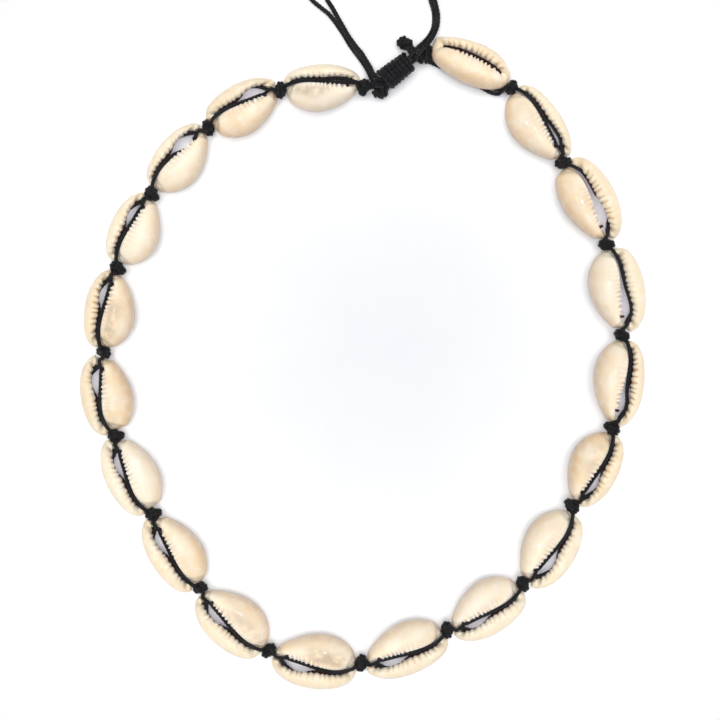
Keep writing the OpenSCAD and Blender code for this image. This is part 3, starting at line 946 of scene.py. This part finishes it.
def shell_finish():
    s = Shader("cowrie_enamel")
    along, share, side = s.parts("place")
    groove, faint, hollow = s.parts("mark")
    tone, patch, marked = s.parts("kind")
    place = s.add("ShaderNodeTexCoord", {}, {}, output=3)
    broad = s.noise(place, 190, 2, 0.5)
    cloudy = s.noise(place, 520, 3, 0.6)
    fine = s.noise(place, 2600, 3, 0.6)
    on_lip = s.ramp(side, 0, 0.5)

    # An ivory dome and a creamy lip, peach toward the dome's margin and most on the columella's side,
    # partly the shell's own colour and partly painted shade, with white clouds
    margin = s.ramp(share + (broad - 0.5) * 0.35, 0.5, 1.0)
    peach_and_shade = margin * (0.35 + tone * 0.5) * s.ramp(0 - side, -0.4, 0.6)
    warm = tone * s.ramp(broad, 0.3, 0.6) * 0.8 + tone * 0.2
    dome = s.mix(warm, IVORY, SAND)
    lip = s.mix(tone * 0.6 + marked * 0.3, LIP_CREAM, LIP_TAN)
    body = s.mix(peach_and_shade, s.mix(s.ramp(side, -0.2, 0.6) * 0.8, dome, lip), PEACH_AND_SHADE)
    body = s.mix(s.ramp(cloudy, 0.42, 0.72) * 0.35, body, WHITE)

    # A greyish patch where the dome is worn
    middle = s.ramp(share, 0.04, 0.22) * (1 - s.ramp(share, 0.35, 0.75))
    low_half = s.ramp(along, -0.42, -0.25) * (1 - s.ramp(along, -0.02, 0.22))
    spots = s.ramp(broad * 0.5 + cloudy * 0.5, 0.34, 0.6)
    greyish = patch * middle * low_half * spots * s.ramp(0 - side, 0, 0.6)
    body = s.mix(greyish, body, GREY_PATCH)

    # White along the slit and at the narrow tip, painted shade in the faint grooves, and grooves between
    # the teeth darkened partly by a tan stain and partly by painted shade
    edge = 1 - s.ramp(share, 0.0, 0.09)
    body = s.mix(edge * (0.6 - on_lip * 0.25), body, WHITE)
    tip = s.ramp(along, 0.35, 0.52) * (1 - margin)
    body = s.mix(tip * (0.6 - on_lip * 0.4), body, WHITE)
    body = s.mix(faint * 0.45, body, LILAC_GROOVE_SHADE)
    groove_stain_and_shade = s.mix(s.ramp(marked, 0.45, 0.75), LILAC_GROOVE_SHADE, GROOVE_TAN)
    body = s.mix(s.ramp(groove, 0.2, 0.85) * (0.14 + marked * marked * 0.75), body, groove_stain_and_shade)

    # The hollow is lilac grey, a tint that stands in for shade, and has a painted glow; its ledge and
    # the notch are painted dark brown as shade
    inside = s.ramp(hollow, 0, 1)
    dark = s.ramp(hollow, 1, 2)
    body = s.mix(inside, body, s.mix(dark, HOLLOW_GREY, LEDGE_SHADE_BROWN))
    glow = s.mix(s.ramp(hollow, 0.2, 1) * (1 - dark), (0, 0, 0, 1), HOLLOW_GREY)
    rough = 0.4 + s.ramp(cloudy, 0.4, 0.7) * 0.08 + inside * 0.3 + groove * 0.12
    soft = s.bump(broad, 0.0004, 0.2)
    return s.finish(
        Base_Color=body,
        Roughness=rough,
        Normal=s.bump(fine, 0.00003, 0.35, soft),
        Specular_IOR_Level=0.32,
        Coat_Weight=0.28 - inside * 0.28,
        Coat_Roughness=0.07,
        Subsurface_Weight=0.4,
        Subsurface_Radius=(1.0, 0.8, 0.65),
        Subsurface_Scale=0.0015,
        Emission_Color=glow,
        Emission_Strength=PAINTED_HOLLOW_GLOW,
    )


enamel = shell_finish()
print("nodes in the shells' finish:", len(enamel.node_tree.nodes))

# %% [markdown]
# ## The surface of a shell
#
# The columns and the rows together are a closed grid: it goes round the shell and round the wall.
# First the plain surface is laid out. Then a deep round notch is cut into the columella where the
# canal begins, and inside the slit the wall is drawn in under it as a ledge, which is what shows
# beside the strands; the ledge and the notch's walls are painted dark brown as shade. Last the teeth
# are lifted along the surface's own normals.

# %% The plain surface
def shell_grid(columns):
    """The plain surface of a shell, column by column."""
    slit, rim = columns[:, 0:2], columns[:, 2:4]
    height, side = columns[:, 4], columns[:, 5]
    across = rim - slit
    reach = np.linalg.norm(across, axis=1)
    way = across / reach[:, None]
    weight = smooth(side, -1, 1)[:, None, None]
    rows = dome_rows[None] * (1 - weight) + roll_rows[None] * weight
    at = rows[:, :, 0] * reach[:, None] - rows[:, :, 1] * WALL
    flat = slit[:, None] + way[:, None] * at[:, :, None]
    z = rows[:, :, 2] * height[:, None]
    return np.concatenate([flat, z[:, :, None]], axis=2)


def grid_normals(grid):
    """The outward direction at each point of a closed grid."""
    round_way = np.roll(grid, -1, axis=0) - np.roll(grid, 1, axis=0)
    up_way = np.empty_like(grid)
    up_way[:, 1:-1] = grid[:, 2:] - grid[:, :-2]
    up_way[:, 0] = grid[:, 1] - grid[:, 0]
    up_way[:, -1] = grid[:, -1] - grid[:, -2]
    normal = np.cross(round_way, up_way)
    return normal / np.maximum(np.linalg.norm(normal, axis=2), 1e-9)[:, :, None]


print("plain surface of shell 1 up to %.1f mm high" % shell_grid(shell_columns(0))[:, :, 2].max())

# %% Notch and ledge
NOTCH_DEEP = 0.6
NOTCH_HALF = 0.4
LEDGE = 0.75
BROAD_LEDGE = 0.8
LAST_LEDGE = 1.3
LEDGE_FALL = 0.25
# How many rows past the slit's edge the ledge has which share of its reach
LEDGE_ROWS = (1, 3, 4, 5, 7)
LEDGE_SHAPE = (0, 0.7, 1, 0.8, 0)


def notch_at(place, x):
    """How much of the deep notch in the columella is there, from 0 to 1."""
    return np.exp(-(((x - (NOTCH_AT - 0.5) * place.chord) / NOTCH_HALF) ** 2))


def ledge_reach(place, x, side):
    """How far the inner wall, painted dark brown as shade, reaches under the slit at each column."""
    f = share_along(place, x)
    if place.is_last:
        return LAST_LEDGE * (side < -0.5) * smooth(f, 0.08, 0.16) * (1 - smooth(f, 0.86, 0.92))
    narrow_half = smooth(f, 0.72, 0.8) * (1 - smooth(f, 0.88, 0.93))
    broad_half = smooth(f, 0.06, 0.14) * (1 - smooth(f, 0.46, 0.56))
    lip = (side > 0.5) * np.maximum(narrow_half, broad_half * BROAD_LEDGE)
    return LEDGE * (lip + (side < -0.5) * notch_at(place, x))


def carve_slit(place, columns, grid, reach):
    """Cuts the notch and draws the inner wall in under the slit."""
    x, side = columns[:, :1], columns[:, 5:6]
    level = np.arange(grid.shape[1])
    ledge = reach[:, None] * np.interp(level - EDGE_ROW, LEDGE_ROWS, LEDGE_SHAPE)
    grid[:, :, 1] -= ledge * np.sign(side)
    grid[:, :, 2] -= ledge * LEDGE_FALL
    if not place.is_last:
        near_edge = np.where(level <= EDGE_ROW, 1 - smooth(dome_rows[:, 0], 0.02, 0.2), 1)
        near_edge *= (level > EDGE_ROW - TOOTH_ROWS) * (level < EDGE_ROW + 2)
        grid[:, :, 1] -= NOTCH_DEEP * notch_at(place, x) * (side < -0.5) * near_edge


# %% [markdown]
# ## Building the shells
#
# Each shell gets its three marks for the enamel and is put on its line. The last one has slipped off
# its strands and leans on them, so it is turned about its outer rim. The two edges that the saw left
# round the cut back stay sharp.

# %% What sets the shells apart
LAST_LEAN = 10.5
TOOTH_PHASE = 1.7
# How warm each shell's ivory is, how tan its grooves are and how strong the greyish patch on its dome
TONES = (0, 0.9, 0.4, 0.25, 0.75, 1.0, 0.1, 0.65, 0.5, 0.6, 0.4, 0.2, 0.4, 0.95, 0.5, 0.3, 0.8, 0.6, 0.8)
GROOVES = (0.4, 0.45, 0.5, 0.6, 1, 0.35, 0.45, 0.4, 0.45, 0.55, 0.6, 0.45, 0.5, 0.75, 1, 0.45, 0.8, 0.5, 0.8)
PATCHES = (0.8, 0.1, 0.1, 0.1, 0.8, 0.4, 0, 0.2, 0.7, 0.9, 0.2, 0.2, 0.2, 0.6, 0.2, 0.1, 0.3, 0.35, 0.1)


def lean_over(grid):
    """Turns a shell about its outer rim."""
    lean = math.radians(LAST_LEAN)
    rim_y = grid[:, :, 1].max()
    y, z = grid[:, :, 1] - rim_y, grid[:, :, 2].copy()
    grid[:, :, 1] = rim_y + y * math.cos(lean) + z * math.sin(lean)
    grid[:, :, 2] = z * math.cos(lean) - y * math.sin(lean)


def mark(*values):
    """Three values for each point of a grid, as one mark."""
    return np.stack(np.broadcast_arrays(*values), axis=2).reshape(-1, 3)


def saw_edges(mesh, levels):
    """For each edge of a shell's mesh, whether it runs along the saw cut."""
    ends = np.empty(len(mesh.edges) * 2, int)
    mesh.edges.foreach_get("vertices", ends)
    level = ends.reshape(-1, 2) % levels
    return (level == 0).all(1) | (level == levels - 1).all(1)


# %% Build the shells
def build_shell(i):
    """Shell i, carved, toothed, marked for the enamel and put on its line."""
    place, columns = places[i], shell_columns(i)
    x, side = columns[:, 0], columns[:, 5]
    grid = shell_grid(columns)
    count, levels = grid.shape[:2]
    reach = ledge_reach(place, x, side)
    carve_slit(place, columns, grid, reach)
    lift, groove, faint = teeth(i, columns, dome_rows, i * TOOTH_PHASE)
    grid += grid_normals(grid) * lift[:, :, None]
    if place.is_last:
        lean_over(grid)

    level = np.arange(levels)
    # The ledge and the notch's walls are marked to be painted dark brown as shade
    dark = smooth(reach / LEDGE, 0.1, 0.4)[:, None] * smooth(level, EDGE_ROW - 0.5, EDGE_ROW + 1)
    hollow = np.maximum(smooth(level, EDGE_ROW + 1, EDGE_ROW + 7), 2 * dark)
    marks = {
        "place": mark(share_along(place, x)[:, None] - 0.5, dome_rows[:, 0], side[:, None]),
        "mark": mark(groove, faint, hollow),
        "kind": mark(np.full((count, levels), TONES[i]), PATCHES[i], GROOVES[i]),
    }
    number = "%02d" % (i + 1)
    points = place.world(grid).reshape(-1, 3)
    faces = grid_faces(count, levels, close_rows=True).tolist()
    piece = add_piece("cowrie_" + number, points, faces, marks, enamel, "shell_" + number)
    sharp = piece.data.attributes.new("sharp_edge", "BOOLEAN", "EDGE")
    sharp.data.foreach_set("value", saw_edges(piece.data, levels))
    return piece


cowries = [build_shell(i) for i in range(LAST + 1)]
for i in (0, 9, LAST):
    low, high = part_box("shell_%02d" % (i + 1))
    co = np.array([v.co for v in cowries[i].data.vertices])
    past = ((co.min(0) - low) / MM).round(2), ((co.max(0) - high) / MM).round(2)
    print("shell", i + 1, "past its solid, low and high:", *past)
print("triangles in a shell:", 2 * len(cowries[0].data.polygons))

# %% [markdown]
# ## The strands through the shells
#
# Both strands are one long route each, from the first knot to the last: through a knot, along a
# shell and through the next knot. The upper strand hugs the columella's edge of the slit. The lower
# one runs below it, along the edge of the outer lip, and crosses the slit near the narrow end. In a
# few shells the strands lie otherwise. The routes are cut before each knot, where the frame's pieces
# part, and the knots are turned about their own line so that no two look the same.

# %% Strands in a shell
EDGE_CLEAR = 0.04
UPPER_Z = 3.75
TOOTHED_DIP = 0.4
UPPER_FALL = 0.8
HIDDEN_DIP = 0.9
LOWER_Z = 2.5
LOWER_FALL = 0.35
STATIONS = (0.915, 0.87, 0.835, 0.8, 0.765, 0.7, 0.6, 0.5, 0.4, 0.3, 0.2, 0.12, 0.06)
# How far toward the outer lip a strand lies at each station: 0 at the columella, less in its last
# notch or hidden under it, 1 at the lip's edge and 2 hidden under the lip
UPPER_LAY = (0.1, 0.1, 0, -0.2, -0.05, 0, 0, 0, 0, 0, 0, 0.1, 0.3)
LOWER_LAY = (0.25, 0.45, 0.8, 1.05, 1.35, 2.0, 2.1, 1.5, 1.1, 1.0, 0.9, 0.6, 0.3)
STEEP_LAY = (0.2, 0.3, 0.6, 1.1, 1.7, 2.1, 2.1, 1.5, 1.1, 1.0, 0.9, 0.6, 0.3)
STEEP_SHELLS = (5, 6, 7, 8, 10, 11)
SPECIAL_LAYS = {
    (0, 0): (0.0, 0.2, 0.2, 0.25, 0.2, 0.1, 0, 0, 0, 0, 0, 0.1, 0.3),
    (0, 1): (0.5, 0.8, 0.9, 0.9, 0.9, 0.95, 1, 0.9, 0.9, 0.8, 0.7, 0.5, 0.3),
    (2, 0): (0.1, 0.1, -0.2, -0.45, -1.2, -1.3, -0.6, 0, 0, 0, 0, 0.1, 0.3),
    (14, 0): (0.3, 0.6, 0.85, 1.0, 1.0, 0.95, 0.7, 0.5, 0.3, 0.1, 0, 0.1, 0.3),
    (14, 1): (0.4, 0.9, 1.2, 1.5, 1.9, 2.1, 2.2, 1.5, 1.1, 1.0, 0.9, 0.6, 0.3),
    (15, 0): (0.3, 0.7, 0.9, 1.1, 1.15, 1.15, 1.15, 1.1, 1.0, 0.9, 0.6, 0.3, 0.2),
    (16, 0): (0.2, 0.6, 1.2, 1.8, 2.1, 2.2, 2.2, 2.1, 2.1, 2.0, 1.7, 1.1, 0.4),
    (16, 1): (0.4, 0.9, 1.5, 1.9, 2.1, 2.2, 2.2, 2.2, 2.2, 2.1, 1.9, 1.3, 0.5),
    (17, 1): (0.4, 0.7, 0.9, 1.0, 1.1, 1.1, 1.2, 1.1, 1.0, 1.0, 0.9, 0.6, 0.3),
}


def strand_in_shell(i, strand):
    """Points of one strand from the narrow end of shell i to its broad end."""
    place = places[i]
    lower = STEEP_LAY if i in STEEP_SHELLS else LOWER_LAY
    lay = SPECIAL_LAYS.get((i, strand), (UPPER_LAY, lower)[strand])
    made = []
    for f, aside in zip(STATIONS, lay):
        x = (f - 0.5) * place.chord
        edge = float(inner_edge(place, x))
        room = float(slit_width(place, x)) - STRAND_D - EDGE_CLEAR
        under = max(0.0, aside - 1)
        hidden = min(max(under, -aside - 0.5), 1)
        end = abs(2 * f - 1) ** 4
        if strand == 0:
            z = UPPER_Z - TOOTHED_DIP * smooth(f, 0.35, 0.6) - UPPER_FALL * end - hidden * HIDDEN_DIP
        else:
            z = LOWER_Z - LOWER_FALL * end
        out = STRAND_D / 2 + EDGE_CLEAR + room * np.clip(aside, 0, 1) + STRAND_D * under + min(aside, 0)
        made.append([x, edge + out, z])
    return place.world(made)


# %% Knots along the loop
KNOT_HALF = 1.4
KNOT_Z = 2.45
KNOT_SQUEEZE = (0.72, 1.1, 1.0)
LAST_KNOT_HEADING = 168
ROLLS = np.random.default_rng(11).uniform(-50, 50, LAST + 2)
# A knot's own points are close together, so only every third one joins the route
KNOT_STEP = 3


def turned(points, roll, squeeze, heading, middle):
    """Knot points rolled about their own line, squeezed, turned on the table and put in place."""
    a, h = math.radians(roll), heading
    roll_matrix = np.array([[1, 0, 0], [0, math.cos(a), -math.sin(a)], [0, math.sin(a), math.cos(a)]])
    turn_matrix = np.array([[math.cos(h), -math.sin(h), 0], [math.sin(h), math.cos(h), 0], [0, 0, 1]])
    return (points @ roll_matrix.T * np.array(squeeze)) @ turn_matrix.T + np.array(middle)


def travel_heading(k):
    """The direction in which the strands travel through knot k."""
    if k == LAST:
        return math.radians(LAST_KNOT_HEADING)
    x, y = KNOTS[min(k + 1, LAST + 1)] - KNOTS[max(k - 1, 0)]
    return math.atan2(y, x)


def tied(paths, roll, squeeze, heading, middle):
    """Tubes of a knot that is rolled, squeezed, turned and put in place, with angles in degrees."""
    heading = math.radians(heading)
    return [strand_tube(turned(p, roll, squeeze, heading, middle), KNOT_STRAND_D) for p in paths]


short_body = knot_body(double_knot, KNOT_HALF)


def knot_strands(k):
    """Both strands through knot k."""
    middle = (*KNOTS[k], KNOT_Z)
    return [turned(path, ROLLS[k], KNOT_SQUEEZE, travel_heading(k), middle) for path in short_body]


print("cord in one knot: %.0f mm" % sum(distances(path)[-1] for path in knot_strands(1)))

# %% Join and cut the routes
def stretch_routes(k):
    """Both strands from knot k through its shell to just before the next knot, and their thickness."""
    here, there = knot_strands(k), knot_strands(k + 1)
    routes = []
    for strand in (0, 1):
        knot = here[strand][::KNOT_STEP]
        shell = strand_in_shell(k, strand)
        ahead = there[strand][:1]
        thick = [KNOT_STRAND_D] * len(knot) + [STRAND_D] * len(shell) + [KNOT_STRAND_D]
        route = curve_through(np.column_stack([np.vstack([knot, shell, ahead]), thick]), 8)
        routes.append((route[:, :3], route[:, 3]))
    return routes


# The strands come to the first knot from the sliding knot, one above the other
LEAD_INS = (
    [[0.6, 61.0, 2.6], [1.9, 61.4, 2.7], [3.2, 61.8, 2.9], [4.5, 62.4, 3.1]],
    [[0.6, 60.3, 2.1], [1.9, 60.6, 2.1], [3.2, 61.1, 2.2], [4.5, 61.7, 2.4]],
)

for k in range(LAST):
    number = "%02d" % (k + 1)
    tubes = [strand_tube(route, thick) for route, thick in stretch_routes(k)]
    if k == 0:
        tubes += [strand_tube(curve_through(route), KNOT_STRAND_D) for route in LEAD_INS]
    add_cord("knotted_cord_" + number, tubes, "cord_" + number)
print("stretches of doubled cord through shells:", LAST)

# %% [markdown]
# ## The strands under the last shell
#
# The last shell has slipped off its strands, which pass side by side on the table beneath it. One
# more knot follows beside its broad end, and from there both strands run through the sliding knot.
# Their routes are short lists of points, because no shell's slit guides them here.

# %% The last stretch
LAST_ROUTE = [
    [29.9, 59.7, 1.0], [28.4, 60.0, 0.5], [26.9, 60.8, 0.5], [25.0, 61.9, 0.5], [22.0, 63.4, 0.5],
    [19.0, 64.9, 0.5], [16.6, 66.0, 0.5], [15.2, 66.6, 0.5], [14.5, 66.9, 0.5],
]


def beside(path, shift):
    """The path moved sideways on the table."""
    ahead = np.gradient(np.asarray(path, float), axis=0)
    side = np.stack([-ahead[:, 1], ahead[:, 0], np.zeros(len(path))], axis=1)
    return np.asarray(path) + side / np.linalg.norm(side, axis=1)[:, None] * shift


last_middle = curve_through(LAST_ROUTE, 6)
last_tubes = []
for knot, shift in zip(knot_strands(LAST), (CORD_D / 2, -CORD_D / 2)):
    run = np.vstack([knot[::KNOT_STEP], beside(last_middle, shift)[::KNOT_STEP]])
    last_tubes.append(strand_tube(curve_through(run, 8), KNOT_STRAND_D))
add_cord("knotted_cord_19", last_tubes, "cord_19")
print("under the last shell: %.0f mm" % distances(last_middle)[-1])

# %% The knot beside it and the strands into the sliding knot
THROUGH_OUTER = [
    [13.2, 67.9, 1.7], [12.2, 67.7, 1.8], [11.3, 67.5, 2.0], [10.2, 67.1, 2.2], [7.3, 64.8, 2.2],
    [4.1, 62.4, 2.2],
]
THROUGH_INNER = [
    [13.2, 67.1, 1.7], [12.0, 66.8, 1.9], [10.9, 66.2, 2.2], [8.0, 63.9, 2.2], [4.9, 61.5, 2.2],
]
# For a knot tied in one place: its roll, how it is squeezed, its heading and its middle
END_KNOT = (20, (1.35, 1.4, 1.1), 205, (13.6, 68.0, 2.0))
closing_tubes = tied(short_body, *END_KNOT)
closing_tubes += [strand_tube(curve_through(route), CORD_D) for route in (THROUGH_OUTER, THROUGH_INNER)]
add_cord("knotted_cord_20", closing_tubes, "cord_20")
print("tubes in the closing piece:", len(closing_tubes))

# %% [markdown]
# ## The sliding knot
#
# A length of the same cord is wound seven times round the strands and tucked under its own turns.
# Seven rings side by side would do from far off, but the turns of a real coil lean, so it is one
# long tube whose route is a helix. The coil narrows a little toward its right end.

# %% Wind the sliding knot
BARREL_LEFT = np.array([4.35, 61.8])
BARREL_RIGHT = np.array([10.5, 66.6])
BARREL_Z = 2.75
TURNS = 7
COIL_D = 1.12
COIL_R_LEFT = 2.1
COIL_R_RIGHT = 1.85


def coil_route():
    axis = BARREL_RIGHT - BARREL_LEFT
    length = np.linalg.norm(axis)
    axis = axis / length
    side = np.array([-axis[1], axis[0], 0])
    t = np.linspace(0, 1, TURNS * 40)
    angle = math.tau * TURNS * t
    radius = COIL_R_LEFT + (COIL_R_RIGHT - COIL_R_LEFT) * t
    along = COIL_D / 2 + (length - COIL_D) * t
    route = (*BARREL_LEFT, BARREL_Z) + along[:, None] * (*axis, 0)
    route += side * (radius * np.cos(angle))[:, None]
    route[:, 2] += radius * np.sin(angle)
    return route


coil = coil_route()
add_cord("wound_sliding_knot", [strand_tube(coil, COIL_D)], "sliding_knot")
print("cord in the sliding knot: %.0f mm" % distances(coil)[-1])

# %% [markdown]
# ## The small knots
#
# A stopper knot sits at the left end of the sliding knot, and the cut end of its cord sticks up at
# the right end in a knot of its own. Past the picture's edge each left tail ends in a plain knot,
# and both right tails end together in a doubled one. All of them are the tied knots from above,
# squeezed and turned as they lie.

# %% Tie the small knots
STOPPER = (35, (1.2, 1.25, 1.12), 30, (4.3, 60.2, 1.98))
CUT_END = (-20, (0.7, 0.95, 0.9), -70, (9.2, 70.4, 1.75))
CUT_NECKS = (
    [[9.1, 70.6, 1.6], [9.6, 69.7, 1.7], [10.1, 68.8, 1.8], [10.6, 68.0, 1.8]],
    [[9.3, 70.5, 1.5], [10.1, 69.9, 1.6], [10.9, 69.3, 1.7], [11.5, 68.5, 1.6]],
)
TAIL_KNOTS = {
    "tail_knot_left_a": (single_body, (0.9, 0.85, 0.8), 100, -15.2, 88.9),
    "tail_knot_left_b": (single_body, (0.9, 0.85, 0.8), 100, -10.4, 88.3),
    "tail_knot_right": (double_body, (0.75, 0.85, 0.85), 90, 13.9, 92.1),
}

add_cord("tied_stopper_knot", tied(double_body, *STOPPER), "stopper_knot")
cut_tubes = tied(double_body, *CUT_END)
cut_tubes += [strand_tube(curve_through(neck), CORD_D) for neck in CUT_NECKS]
add_cord("tied_cut_end_knot", cut_tubes, "cut_end_knot")

for name, (paths, squeeze, heading, x, y) in TAIL_KNOTS.items():
    low, high = (np.array(corner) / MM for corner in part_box(name))
    z = (low[2] + high[2]) / 2
    add_cord("tied_" + name, tied(paths, 0, squeeze, heading, (x, y, z)), name)

for name, knot in {
    "tail_left_a": "tail_knot_left_a",
    "tail_left_b": "tail_knot_left_b",
    "tail_right_a": "tail_knot_right",
    "tail_right_b": "tail_knot_right",
}.items():
    piece, path = tails[name]
print("free cords declared:", len(tails))

# %% [markdown]
# ## Table and light
#
# The choker lies on a plain white table in a tent of soft light. Most of it falls from a large soft
# box high above. Each shell throws a soft shadow to the inside of the loop only, so a ring of lamps
# stands close to the table outside the loop: a lamp near a shell outshines those across the loop.
# The ring is lower and weaker on the right, where the shadows are longest. A small lamp over the
# middle keeps the table white there, and three small bright ones give the enamel its glints.

# %% The table
floor_mesh = bpy.data.meshes.new("table")
TABLE_HALF = 2.0
corners = [(x * TABLE_HALF, y * TABLE_HALF, 0) for x, y in ((-1, -1), (1, -1), (1, 1), (-1, 1))]
floor_mesh.from_pydata(corners, [], [(0, 1, 2, 3)])
floor = bpy.data.objects.new("table", floor_mesh)
scene.collection.objects.link(floor)
table_shader = Shader("white_table")
paper = table_shader.noise(table_shader.add("ShaderNodeTexCoord", {}, {}, output=3), 60, 3)
floor_mesh.materials.append(table_shader.finish(
    Base_Color=table_shader.mix(paper, colour(238, 238, 241), colour(243, 243, 245)),
    Roughness=0.75 + paper * 0.1,
))
floor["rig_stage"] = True
print("table: %.0f m square" % (2 * TABLE_HALF))

# %% The lamps' places and strengths
LAMPS = 12
RING_R = 0.13
RING_H = 0.15
LOW_SIDE = 0.3
LOW_ANGLE = 0.4
LOW_DIMMING = 0.6
LOOP_R = 0.07
LAMP_SIZE = 0.07
LAMP_SPREAD = 52
CORNER_GAIN = 0.36
LAMP_POWER = 0.0067
MIDDLE_HEIGHT = 0.3
MIDDLE_SPREAD = 28
MIDDLE_POWER = 0.0027
BOX_HEIGHT = 1.05
BOX_SIZE = 0.45
BOX_POWER = 1.95
GLINTS = ((0.16, 0.12), (-0.2, 0.05), (0.03, -0.2))
GLINT_HEIGHT = 0.85
GLINT_SIZE = 0.05
GLINT_POWER = 0.8
WHITE_LIGHT = (1, 1, 1)
RING_LIGHT = (1.0, 0.97, 0.93)
BOX_LIGHT = (1.0, 0.985, 0.965)
SKY_LIGHT = (0.78, 0.89, 1.0, 1)
SKY_POWER = 0.2


# %% Set the lamps
def add_lamp(name, place, aim, size, power, tint, glossy, spread=180):
    lamp = bpy.data.lights.new(name, "AREA")
    lamp.shape = "DISK"
    lamp.size = size
    lamp.energy = power
    lamp.spread = math.radians(spread)
    lamp.color = tint
    lamp_object = bpy.data.objects.new(name, lamp)
    lamp_object.location = place
    away = np.array(place) - np.array(aim)
    flat = math.hypot(away[0], away[1])
    lamp_object.rotation_euler = (math.atan2(flat, away[2]), 0, math.atan2(away[1], away[0]) + math.pi / 2)
    lamp_object.visible_glossy = glossy
    lamp_object.visible_camera = False
    scene.collection.objects.link(lamp_object)


for k in range(LAMPS):
    a = math.tau * (k + 0.5) / LAMPS
    lower = 1 - LOW_SIDE * max(0, math.cos(a - LOW_ANGLE))
    place = (RING_R * math.cos(a), RING_R * math.sin(a), RING_H * lower)
    corner = 1 + CORNER_GAIN * math.sin(2 * a) ** 2
    aim = (LOOP_R * corner * math.cos(a), LOOP_R * corner * math.sin(a), 0)
    power = LAMP_POWER * corner * lower**LOW_DIMMING
    add_lamp("ring_lamp_%02d" % k, place, aim, LAMP_SIZE, power, RING_LIGHT, False, LAMP_SPREAD)
middle = (0, 0, 0)
add_lamp("soft_box", (0, 0, BOX_HEIGHT), middle, BOX_SIZE, BOX_POWER, BOX_LIGHT, True)
over_middle = (0, 0, MIDDLE_HEIGHT)
add_lamp("middle_lamp", over_middle, middle, LAMP_SIZE, MIDDLE_POWER, WHITE_LIGHT, False, MIDDLE_SPREAD)
for k, spot in enumerate(GLINTS):
    add_lamp("glint_lamp_%d" % k, (*spot, GLINT_HEIGHT), middle, GLINT_SIZE, GLINT_POWER, WHITE_LIGHT, True)

world = bpy.data.worlds.new("studio")
world.use_nodes = True
sky = world.node_tree.nodes["Background"].inputs
sky["Color"].default_value = SKY_LIGHT
sky["Strength"].default_value = SKY_POWER
scene.world = world
scene.view_settings.view_transform = "Standard"
print("lamps:", len(bpy.data.lights))

# %% [markdown]
# ## The finished pieces' box
#
# The box round the finished pieces is worked out, and the triangles of all the pieces are counted.

# %% Finish
low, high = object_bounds()
pieces = [o for o in bpy.data.objects if o.type == "MESH" and "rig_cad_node" not in o]
print("triangles in all:", sum(len(p.vertices) - 2 for o in pieces for p in o.data.polygons))
